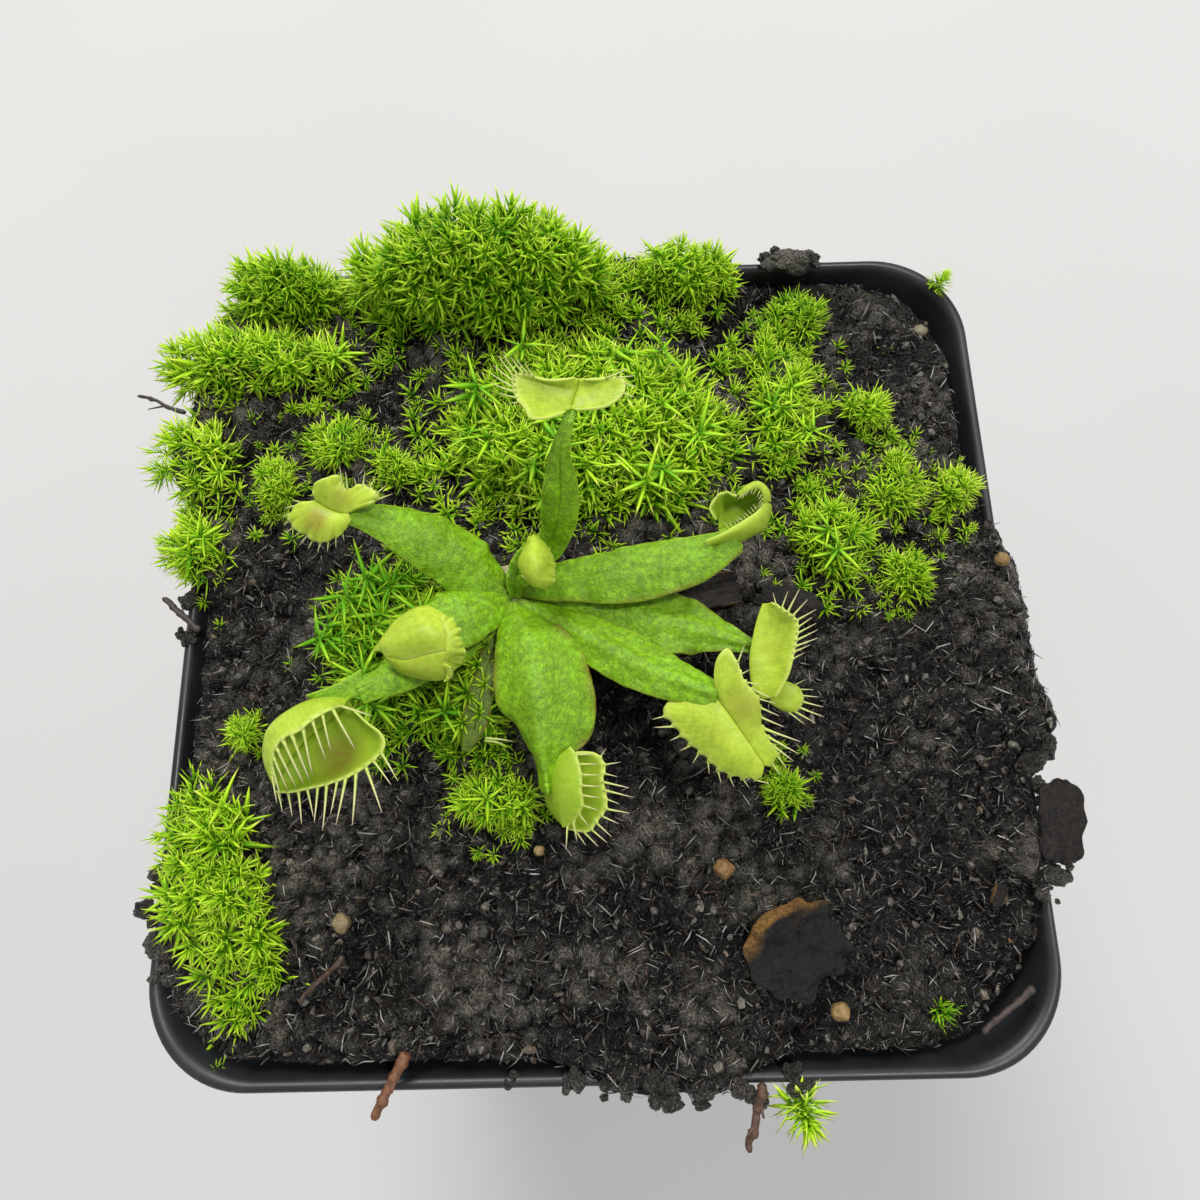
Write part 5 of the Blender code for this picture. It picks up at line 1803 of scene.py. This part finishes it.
def trap_top(trap):
    """The highest trap, open like a shallow bowl."""
    hinge = ((-1.3, 12.8, 104), (-1, 13.8, 103.9), (-0.7, 14.8, 104.1), (-0.6, 15.6, 104.6))
    trap.lobe(
        hinge,
        ((-1.8, 12.6, 104.3), (-3.2, 12.1, 104.8), (-4.6, 12, 105.2), (-5.1, 12.9, 105.3),
         (-5.7, 13.8, 105.4), (-6, 14.9, 105.5), (-6, 16, 105.6), (-5, 16.1, 105.6), (-3.6, 15.6, 105.3),
         (-2, 15.6, 105), (-1, 15.7, 104.8)),
        bulge=(0, 0, -0.3), first=0.4, last=0.72,
        tips=((-6.4, 13.4, 105.6), (-7.3, 14.3, 105.8), (-7.9, 15.2, 105.9), (-8, 16.1, 106),
              (-7.8, 16.9, 106.2), (-7.4, 17.8, 106.3), (-7, 17.9, 106.3), (-6.4, 17.7, 106.3),
              (-5.9, 17.5, 106.3), (-5.2, 17.2, 106.2)),
        curl=(0.3, 0.3, 1),
    )
    trap.lobe(
        hinge,
        ((-0.9, 12.8, 104.3), (0.4, 12.8, 104.6), (1.8, 13, 104.9), (2.9, 13.8, 105.1), (3.3, 14.9, 105.2),
         (2.9, 15.6, 105.2), (1.2, 15.5, 104.9), (0, 15.4, 104.8)),
        bulge=(0, 0, -0.2), first=0.5, last=0.8, flush=0.1,
        tips=((4, 13.6, 105.4), (4.2, 14.6, 105.5), (4.1, 15.6, 105.6), (3.6, 16.3, 105.6)),
        curl=UP,
    )


def trap_centre(trap):
    """The bud of a trap over the crown."""
    trap.lobe(
        ((-5.4, 0.5, 94.2), (-5.9, 1.2, 94.5), (-6.5, 1.9, 94.4), (-6.7, 2.8, 94.3), (-6.3, 3.9, 94.2),
         (-5.9, 4.5, 94.2), (-5.8, 5.2, 94.3)),
        ((-5, 0.4, 94.8), (-5.1, 1.4, 95.9), (-5.2, 2.8, 96.3), (-5.2, 4, 95.7), (-5.3, 5.3, 94.7)),
        ((-4.4, 0.3, 94.2), (-3.5, 0.9, 94.4), (-3.45, 1.9, 94.4), (-3.4, 2.7, 94.3), (-3.9, 4, 94.1),
         (-4.6, 4.8, 94.1), (-4.9, 5.2, 94.3)),
        thick=0.5, frill=0.04,
    )
    trap.lobe(
        ((-5, 0.6, 93.8), (-4.9, 2.5, 93.2), (-5.2, 4.9, 93.6)),
        ((-6.2, 1.2, 94), (-6.6, 2.8, 93.8), (-5.9, 4.6, 93.8)),
        inside=(0, 0, -1), thick=0.4,
    )
    trap.lobe(
        ((-5, 0.6, 93.8), (-4.9, 2.5, 93.2), (-5.2, 4.9, 93.6)),
        ((-3.6, 1, 94), (-3.5, 2.7, 93.8), (-4.5, 4.7, 93.8)),
        inside=(0, 0, -1), thick=0.4,
    )
    left = ((-6.4, 1.5, 94.9), (-5.8, 1.1, 95), (-5.3, 0.7, 95))
    trap.comb(left, 4, (0.5, -0.5, 0.5), 0.35, 0.55, seed=8)
    right = ((-3.4, 1, 94.8), (-3.4, 1.7, 94.8), (-3.3, 2.3, 94.8))
    trap.comb(right, 4, (-0.3, -0.4, 0.6), 0.3, 0.5, seed=9)


def trap_front(trap):
    """The front trap: half shut, with spread teeth."""
    hinge = ((-4.2, -15.2, 90.4), (-4.7, -17, 89.4), (-4.6, -18.6, 89.2), (-3.6, -20.2, 89.4))
    trap.lobe(
        hinge,
        ((-3.4, -14.5, 91.6), (-3.4, -16.4, 92.2), (-3.2, -18.4, 92), (-3.3, -20.4, 90.6)),
        ((-2.4, -13.7, 92.4), (-1.8, -14.5, 92.9), (-1.4, -16.2, 93.2), (-1.4, -17.6, 93),
         (-1.3, -19, 92.6), (-2.2, -20.3, 91.6), (-3.1, -20.8, 90.8)),
        inside=(1, 0, -0.2), thick=0.4, first=0.12, last=0.94, scallop=0.22, green=0.8,
        tips=((-0.2, -14.4, 93), (0.1, -15.3, 93.2), (0.2, -16.3, 93.3), (0.3, -17.3, 93.2),
              (0.2, -18.3, 93), (0.1, -19.4, 92.6), (-0.8, -20.8, 92), (-1.9, -22.1, 91.4),
              (-2.9, -22.7, 91)),
    )
    trap.lobe(
        hinge,
        ((-2.4, -14.2, 91.2), (-0.2, -14.3, 91.6), (0.7, -15.4, 91.7), (0.5, -16.7, 91.6),
         (0.75, -17.9, 91.5), (0.8, -19.2, 91.3), (0, -20.2, 91), (-0.9, -21.2, 90.6), (-2.6, -21, 90.2)),
        inside=(-0.4, 0, 1), bulge=(0.4, 0, -0.9), first=0.24, last=0.95, scallop=0.22, green=0.45,
        tips=((0.9, -13.9, 92), (2.2, -15.2, 92), (1.9, -16.5, 91.9), (2.9, -17.5, 91.9),
              (3.1, -18.3, 91.8), (2, -18.9, 91.6), (2.9, -19.7, 91.6), (1.9, -20.6, 91.4),
              (1.2, -21.7, 91.2), (0.8, -22.2, 91), (0, -22.5, 90.8), (-1.1, -22.4, 90.6)),
        curl=UP,
    )


def trap_old_front(trap):
    """The old leaf has lost its trap, and two of its teeth are left."""
    for place, aim, reach in (
        ((-10.4, -12.6, 88.9), (1, -0.05, 0.05), 2.6), ((-10.5, -12.8, 88.8), (1, -0.12, 0.05), 1.9),
    ):
        trap.seats.append((Vector(place), Vector(aim), Vector((0, -1, 0)), reach))


# How each leaf's trap is made, and the level that its knots are set out on.
TRAPS = {
    "leaf_upper_left": (trap_upper_left, 96),
    "leaf_left_young": (trap_left_young, 94),
    "leaf_lower_left": (trap_lower_left, 92),
    "leaf_front": (trap_front, 91),
    "leaf_lower_right": (trap_lower_right, 94),
    "leaf_right": (trap_right, 93),
    "leaf_upper_right": (trap_upper_right, 94),
    "leaf_top": (trap_top, 105),
    "leaf_centre": (trap_centre, 95),
    "leaf_old_front": (trap_old_front, 89),
}


def tooth_mesh():
    """A trap's tooth, one unit long, pointing along +Y and curling towards +Z."""
    stops = (-0.03, 0.16, 0.38, 0.62, 0.84, 1)
    line = [(0, t, 0.15 * max(t, 0) ** 2) for t in stops]
    points, faces = tube(line, [0.105, 0.072, 0.056, 0.043, 0.03, 0.012], 5)
    tip = [0] + [max(t, 0) for t in stops for _ in range(5)] + [1]
    return face_outwards(make_mesh("tooth", points, faces, tip=tip))


class FLYTRAP_OT_leaves(bpy.types.Operator):
    """Grows the ten leaves: blades, traps and teeth"""

    bl_idname = "flytrap.leaves"
    bl_label = "Leaves and traps"

    def execute(self, context):
        settings = context.scene.flytrap_leaf
        fresh = [blade_finish(settings, False), trap_finish(settings), tooth_finish()]
        old = [blade_finish(settings, True), fresh[1], fresh[2]]
        tree = teeth_tree()
        tooth = make_object("tooth", tooth_mesh())
        for node, (add_trap, level) in TRAPS.items():
            shell = Shell("side", "run", "inner", "flush", "green")
            if node == "leaf_front":
                add_front_blade(shell)
            else:
                add_blade(shell, node)
            trap = Trap(shell, level)
            add_trap(trap)
            parts = [(shell.mesh(node + "_sheets", []), None)]
            if trap.seats:
                places, aims, curls, sizes = zip(*trap.seats)
                seats = make_mesh(node + "_seats", places, [], aim=aims, curl=curls, size=sizes)
                parts.append((grown(make_object(node + "_seats", seats), tree, {
                    "Tooth": tooth, "Stoutness": settings.tooth, "Finish": fresh[2],
                }), TOOTH_MARK))
            finishes = old if node == "leaf_old_front" else fresh
            mesh = joined(node + "_grown", parts, finishes, "side", "run", "inner", "flush", "green", "tip")
            place_piece(node + "_grown", mesh, None, "leaf", node)
        bpy.data.objects.remove(tooth)
        return {"FINISHED"}


def blade_finish(settings, faded):
    """A fleshy blade: mottled green with tiny pale dots, a thin pale margin and a reddish flush."""
    made = Finish("old_blade" if faded else "leaf_blade")
    side, run, flush = made.value("side"), made.value("run"), made.value("flush")
    base = (0.11, 0.17, 0.014) if faded else tuple(settings.blade)
    light = tuple(min(1, 1.55 * part) for part in base)
    deep = tuple(0.72 * part for part in base)
    mottle = made.noise(0.55, 5, 0.65)
    level = made.weighed((mottle, 0.72), (made.noise(3.2, 3, 0.6), 0.28))
    tone = made.ramp(level, (0.34, deep), (0.48, base), (0.62, light))
    pale_dots = made.ramp(made.cells(0.34), (0.10, 1), (0.20, 0))
    sparse = made.ramp(made.noise(0.9, 2), (0.48, 0), (0.60, 0.75))
    tone = made.blend(made.times(pale_dots, sparse), tone, (0.42, 0.60, 0.14))
    edge = made.ramp(side, (0.90, 0), (0.985, 0.9))
    tone = made.blend(edge, tone, tuple(settings.margin))
    tone = made.blend(made.ramp(flush, (0.15, 0), (0.8, 0.75)), tone, (0.23, 0.10, 0.03))
    root = made.ramp(run, (0, 0.45), (0.10, 0))
    tone = made.blend(root, tone, (0.26, 0.32, 0.06))
    relief = made.weighed((made.noise(0.28, 4, 0.6), 0.7), (pale_dots, 0.5))
    return made.set(
        Base_Color=tone, Roughness=made.ramp(mottle, (0.3, 0.24), (0.7, 0.42)),
        Normal=made.bump(relief, 1, 0.24), Subsurface_Weight=0.2, Subsurface_Scale=0.6 * MM,
        Subsurface_Radius=(0.7, 1, 0.1), Specular_IOR_Level=0.38,
    )


def trap_finish(settings):
    """A trap's lobe: yellow-green with fine veins, greener inside, flushed with red where it is oldest."""
    made = Finish("trap_lobe")
    side, run = made.value("side"), made.value("run")
    inner, flush = made.value("inner"), made.value("flush")
    outer = tuple(settings.trap)
    pale = tuple(min(1, 1.22 * part + 0.02) for part in outer)
    green = (0.24, 0.36, 0.02)
    grain = made.noise(0.5, 4, 0.6)
    level = made.weighed((grain, 0.4), (made.noise(2.6, 3, 0.55), 0.6))
    outside = made.ramp(level, (0.34, tuple(0.72 * part for part in outer)), (0.5, outer), (0.66, pale))
    inside = made.ramp(level, (0.34, green), (0.52, tuple(0.85 * part for part in outer)), (0.7, outer))
    tone = made.blend(made.times(inner, 0.5), outside, inside)
    tone = made.blend(made.times(made.value("green"), 0.75), tone, (0.20, 0.36, 0.012))
    veins = made.math("SINE", made.times(run, 150))
    veins = made.ramp(made.plus(made.times(veins, 0.5), 0.5), (0, 0), (1, 0.22))
    veins = made.times(veins, made.ramp(side, (0.3, 0.2), (0.9, 1)))
    tone = made.blend(veins, tone, green)
    redness = made.ramp(flush, (0.1, 0), (0.9, 0.9))
    redness = made.times(redness, made.ramp(grain, (0.35, 0.45), (0.65, 1)))
    tone = made.blend(redness, tone, (0.26, 0.14, 0.03))
    edge = made.ramp(side, (0.88, 0), (1, 0.7))
    tone = made.blend(edge, tone, (0.60, 0.70, 0.16))
    return made.set(
        Base_Color=tone, Roughness=made.ramp(grain, (0.3, 0.36), (0.7, 0.5)),
        Normal=made.bump(made.plus(made.noise(0.22, 3), made.times(veins, 0.8)), 0.35, 0.08),
        Subsurface_Weight=0.3, Subsurface_Scale=0.6 * MM, Subsurface_Radius=(0.8, 1, 0.1),
        Specular_IOR_Level=0.3,
    )


def tooth_finish():
    """A tooth: as its lobe at the root, paler along it, faintly pink at the tip."""
    made = Finish("trap_tooth")
    tone = made.ramp(
        made.value("tip"), (0, (0.50, 0.62, 0.10)), (0.45, (0.66, 0.70, 0.27)), (1, (0.60, 0.48, 0.32))
    )
    grain = made.ramp(made.noise(0.25, 2), (0.3, 0.82), (0.7, 1))
    return made.set(
        Base_Color=made.blend(1, tone, grain, "MULTIPLY"), Roughness=0.4, Subsurface_Weight=0.4,
        Subsurface_Scale=0.4 * MM, Subsurface_Radius=(0.8, 1, 0.3),
    )


# ---- Bark, twigs, grit, the clod and the rhizome ----

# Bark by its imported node: half length, half width, half thickness, turn in degrees, how far it curls over
# its width, how ragged it is, and how much of it is fresh and ochre.
BARK = {
    "bark_chip_inner": (3.4, 1.6, 0.5, 12, 0.75, 0.2, 0.35),
    "bark_chip_outer": (3.3, 1.8, 0.6, -14, -0.7, 0.2, 0.25),
    "bark_flake_front": (4.9, 4.3, 0.5, 20, 0.2, 0.05, 1),
    "bark_flake_rim": (4, 2.2, 0.5, 82, 0.3, 0.12, 0.1),
    "bark_chip_right": (1.25, 0.65, 0.35, 60, 0.2, 0.1, 0.9),
}
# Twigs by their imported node: radius, how crooked they are, side shoots as (place along it, turn, length),
# and whether they are brown (1) or black (0).
TWIGS = {
    "twig_left": (0.27, 0.3, ((0.45, 40, 1.8),), 0.05),
    "twig_left_low": (0.45, 0.15, (), 0.1),
    "splinter_front": (0.62, 0.1, ((0.3, 14, 1.8), (0.2, -10, 1.4)), 1),
    "twig_front": (0.5, 0.35, ((0.6, -30, 1.2), (0.3, 25, 1.3)), 0.45),
    "twig_corner": (0.4, 0.2, (), 0.12),
    "twig_front_left": (0.36, 0.3, (), 0.2),
}


def bark_chip(node):
    """A flake of bark: a slab with split grain, ragged ends and a curl over its width."""
    half_long, half_wide, half_thick, turn, curl, ragged, fresh = BARK[node]
    broken = fresh > 0.95
    power = (0.85, 0.85, 0.5) if broken else (0.55, 0.6, 0.5)
    low, high, middle = span(node)
    seed = half_long * 3.1
    points, faces = ball(5)
    spin = Matrix.Rotation(math.radians(turn), 3, "Z")
    placed, ochre = [], []
    for point in points:
        x, y, z = (math.copysign(abs(part) ** share, part) for part, share in zip(point, power))
        end = swell(y * 3, seed, x * 0.6)
        x *= 1 + ragged * 2 * end * abs(x) ** 4
        y *= 1 + ragged * 1.6 * swell(x * 2.2, seed, 4)
        out = math.hypot(x, y)
        facing = max(0, math.cos(math.atan2(y, x) - 1.85))
        grain = swell(x * 1.1, y * half_wide * 3.4, seed)
        fine = swell(x * 2.4, y * half_wide * 8, z + seed)
        rise = half_thick * (z * (1 + 0.35 * end) + 0.55 * grain + 0.22 * fine)
        rise += curl * half_wide * (y * y - 0.4)
        rim = max(0, abs(y) - 0.72) * 3
        if broken:
            knot = swell(x * 2.6, y * 2.6, seed)
            x, y = x * (1 + 0.22 * knot), y * (1 + 0.22 * knot)
            rise = rise * 0.6 + 0.9 * knot + 0.5 * swell(x * 6, y * 6, seed)
            rise += 0.7 * facing * max(0, 1 - abs(out - 0.82) / 0.2) - 0.35 * max(0, 1 - out / 0.6)
            rim = max(0, out - 0.66) * 4 * facing**1.5
        placed.append(middle + spin @ Vector((x * half_long, y * half_wide, rise)))
        spots = 0.45 * max(0, swell(x * 2, y * 3, seed + 8))
        ochre.append(min(1, fresh * (rim + spots)))
    shift = middle.z + (high.z - low.z) * 0.5 - max(point.z for point in placed)
    placed = [point + UP * min(shift, 0.3) for point in placed]
    worn = [1 if half_long > 4 else 0.35] * len(placed)
    return face_outwards(make_mesh(node + "_grained", placed, faces, fresh=ochre, worn=worn))


def node_ends(node):
    """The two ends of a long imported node, in millimetres."""
    points = [vertex.co / MM for vertex in frame["nodes"][node].data.vertices]
    first = max(points, key=lambda point: (point - points[0]).length)
    last = max(points, key=lambda point: (point - first).length)
    return first, last


def twig(node):
    """A crooked piece of wood with its side shoots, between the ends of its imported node."""
    radius, crook, shoots, brown = TWIGS[node]
    first, last = node_ends(node)
    along = last - first
    side = along.cross(UP).normalized()
    seed = along.length
    line, radii = [], []
    steps = 26
    for k in range(steps + 1):
        t = k / steps
        swing = crook * swell(t * 3, seed, 0) * 2
        lift = crook * swell(t * 4, 0, seed)
        line.append(first + along * t + side * swing + UP * lift)
        knot = 1 + 0.35 * max(0, swell(t * 9, seed, 3)) * 2
        radii.append(radius * knot * (0.85 if 0 < k < steps else 0.45) * (1 - 0.25 * t))
    shell = Shell("brown")
    shell.add(*rough_tube(line, radii, 11, seed), brown=brown)
    for place, turn, reach in shoots:
        start = line[int(place * steps)]
        out = Matrix.Rotation(math.radians(turn), 3, "Z") @ along.normalized()
        route = [start + out * (reach * k / 6) + UP * (0.08 * k) for k in range(7)]
        thin = [0.5 * radius * (1 - 0.1 * k) for k in range(7)]
        shell.add(*rough_tube(route, thin, 8, seed + place), brown=brown)
    return shell.mesh(node + "_wood", [])


def rough_tube(line, radii, sides, seed):
    """A tube with a split, stringy surface."""
    points, faces = tube(line, radii, sides)
    rough = []
    for index, point in enumerate(points):
        ring = (index - 1) // sides
        centre = line[min(max(ring, 0), len(line) - 1)]
        share = 1 + 0.28 * noise.noise(Vector((((index - 1) % sides) * 1.7, ring * 0.22, seed)))
        rough.append(Vector(centre) + (Vector(point) - Vector(centre)) * share)
    return rough, faces


def grain_of_grit(node, index):
    """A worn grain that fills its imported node."""
    low, high, middle = span(node)
    points, faces = ball(4)
    spin = Matrix.Rotation(index * 1.3, 3, "Z")
    shaped = []
    for point in points:
        facet = noise.voronoi(point * 1.3 + Vector((index * 2, 0, 0)))[0][0]
        shaped.append(point * (0.74 + 0.3 * facet))
    shaped = lumpy(shaped, index * 1.7, 0.7, 0.1)
    return [middle + (spin @ point) * ((high - low) / 2) for point in shaped], faces


class FLYTRAP_OT_bark(bpy.types.Operator):
    """Builds the flakes and chips of bark"""

    bl_idname = "flytrap.bark"
    bl_label = "Bark"

    def execute(self, context):
        finish = bark_finish()
        for node in BARK:
            place_piece(node + "_grained", bark_chip(node), finish, "bark", node)
        return {"FINISHED"}


class FLYTRAP_OT_twigs(bpy.types.Operator):
    """Builds the twigs and splinters"""

    bl_idname = "flytrap.twigs"
    bl_label = "Twigs"

    def execute(self, context):
        finish = twig_finish()
        for node in TWIGS:
            place_piece(node + "_wood", twig(node), finish, "twig", node)
        return {"FINISHED"}


class FLYTRAP_OT_grit(bpy.types.Operator):
    """Builds the grains of grit, the loose clod, and finishes the rhizome"""

    bl_idname = "flytrap.grit"
    bl_label = "Grit, clod and rhizome"

    def execute(self, context):
        finish = grit_finish()
        nodes = sorted(name for name in frame["nodes"] if name.startswith("grit_"))
        for index, node in enumerate(nodes):
            points, faces = grain_of_grit(node, index)
            tint = [(index * 0.37) % 1] * len(points)
            mesh = face_outwards(make_mesh(node + "_grain", points, faces, tint=tint))
            place_piece(node + "_grain", mesh, finish, "grit", node)
        points, faces = ball(5)
        low, high, middle = span("peat_clod_back")
        placed = [
            middle + point * ((high - low) / 2) * (0.94 + 0.06 * noise.noise(point * 9))
            for point in lumpy(points, 5, 0.7, 0.4)
        ]
        # Painted shade: the clod's colour is paler on its top and darker towards its underside.
        rise = [0.3 + point.z - middle.z for point in placed]
        mesh = face_outwards(make_mesh("clod_back", placed, faces, rise=rise))
        place_piece("clod_back", mesh, bpy.data.materials["wet_peat"], "peat", "peat_clod_back")
        bulb = frame["nodes"]["rhizome"]
        bulb.data.materials.clear()
        bulb.data.materials.append(rhizome_finish())
        return {"FINISHED"}


def bark_finish():
    """Weathered bark: dark red-brown with split grain, ochre where it is freshly broken."""
    made = Finish("weathered_bark")
    grain = made.noise(1.1, 7, 0.72, distortion=1.2)
    fine = made.noise(0.3, 5, 0.7)
    tone = made.ramp(
        grain, (0.34, (0.008, 0.006, 0.005)), (0.56, (0.026, 0.017, 0.012)), (0.76, (0.085, 0.055, 0.038))
    )
    tone = made.blend(made.times(made.value("worn"), 0.8), tone, (0.006, 0.0055, 0.005))
    tone = made.blend(made.ramp(made.value("fresh"), (0.2, 0), (0.8, 0.85)), tone, (0.30, 0.15, 0.03))
    return made.set(
        Base_Color=made.blend(0.9, tone, made.ramp(fine, (0.38, 0.3), (0.62, 1.3)), "MULTIPLY"),
        Roughness=made.ramp(grain, (0.35, 0.35), (0.65, 0.8)),
        Normal=made.bump(made.plus(grain, made.times(fine, 0.8)), 1, 0.4),
    )


def twig_finish():
    """Wet dead wood, from black to brown, with stringy grain."""
    made = Finish("dead_wood")
    grain = made.noise(0.45, 6, 0.7)
    black = made.ramp(grain, (0.3, (0.010, 0.009, 0.008)), (0.7, (0.055, 0.045, 0.038)))
    brown = made.ramp(grain, (0.3, (0.055, 0.020, 0.009)), (0.7, (0.26, 0.105, 0.040)))
    return made.set(
        Base_Color=made.blend(made.value("brown"), black, brown),
        Roughness=made.ramp(grain, (0.35, 0.35), (0.7, 0.7)), Normal=made.bump(grain, 0.7, 0.15),
    )


def grit_finish():
    """Sand grains, from grey-yellow to orange."""
    made = Finish("sand_grain")
    speck = made.noise(0.35, 5, 0.7)
    tone = made.ramp(
        made.value("tint"), (0, (0.24, 0.21, 0.13)), (0.5, (0.33, 0.21, 0.07)), (1, (0.27, 0.13, 0.045))
    )
    return made.set(
        Base_Color=made.blend(0.8, tone, made.ramp(speck, (0.3, 0.35), (0.65, 1)), "MULTIPLY"),
        Roughness=made.ramp(speck, (0.3, 0.4), (0.7, 0.75)), Normal=made.bump(speck, 0.6, 0.1),
    )


def rhizome_finish():
    """A pale fleshy bulb with darker scars."""
    made = Finish("pale_bulb")
    grain = made.noise(1.4, 5, 0.65)
    return made.set(
        Base_Color=made.ramp(grain, (0.3, (0.22, 0.19, 0.09)), (0.6, (0.50, 0.50, 0.30))),
        Roughness=made.ramp(grain, (0.3, 0.6), (0.7, 0.4)), Normal=made.bump(grain, 0.4, 0.2),
        Subsurface_Weight=0.2, Subsurface_Scale=0.8 * MM,
    )


# ---- Panel and registration ----


class FLYTRAP_PT_panel(bpy.types.Panel):
    """Lists the settings and the steps that build the plant"""

    bl_idname = "FLYTRAP_PT_panel"
    bl_label = "Potted Venus Flytrap"
    bl_space_type = "VIEW_3D"
    bl_region_type = "UI"
    bl_category = "Flytrap"

    def draw(self, context):
        for name, kind in SETTINGS.items():
            box = self.layout.box()
            for key in kind.__annotations__:
                box.prop(getattr(context.scene, name), key)
        for step in STEPS:
            self.layout.operator(step.bl_idname)


SETTINGS = {
    "flytrap_stage": StageSettings, "flytrap_pot": PotSettings, "flytrap_peat": PeatSettings,
    "flytrap_moss": MossSettings, "flytrap_leaf": LeafSettings,
}
STEPS = (
    FLYTRAP_OT_stage, FLYTRAP_OT_pot, FLYTRAP_OT_peat, FLYTRAP_OT_litter, FLYTRAP_OT_moss,
    FLYTRAP_OT_leaves, FLYTRAP_OT_bark, FLYTRAP_OT_twigs, FLYTRAP_OT_grit,
)
CLASSES = (*SETTINGS.values(), *STEPS, FLYTRAP_PT_panel)


def register():
    for kind in CLASSES:
        bpy.utils.register_class(kind)
    for name, kind in SETTINGS.items():
        setattr(bpy.types.Scene, name, bpy.props.PointerProperty(type=kind))


def unregister():
    for name in SETTINGS:
        delattr(bpy.types.Scene, name)
    for kind in reversed(CLASSES):
        bpy.utils.unregister_class(kind)


def main():
    register()
    for step in STEPS:
        category, name = step.bl_idname.split(".")
        getattr(getattr(bpy.ops, category), name)()


if __name__ == "__main__":
    main()
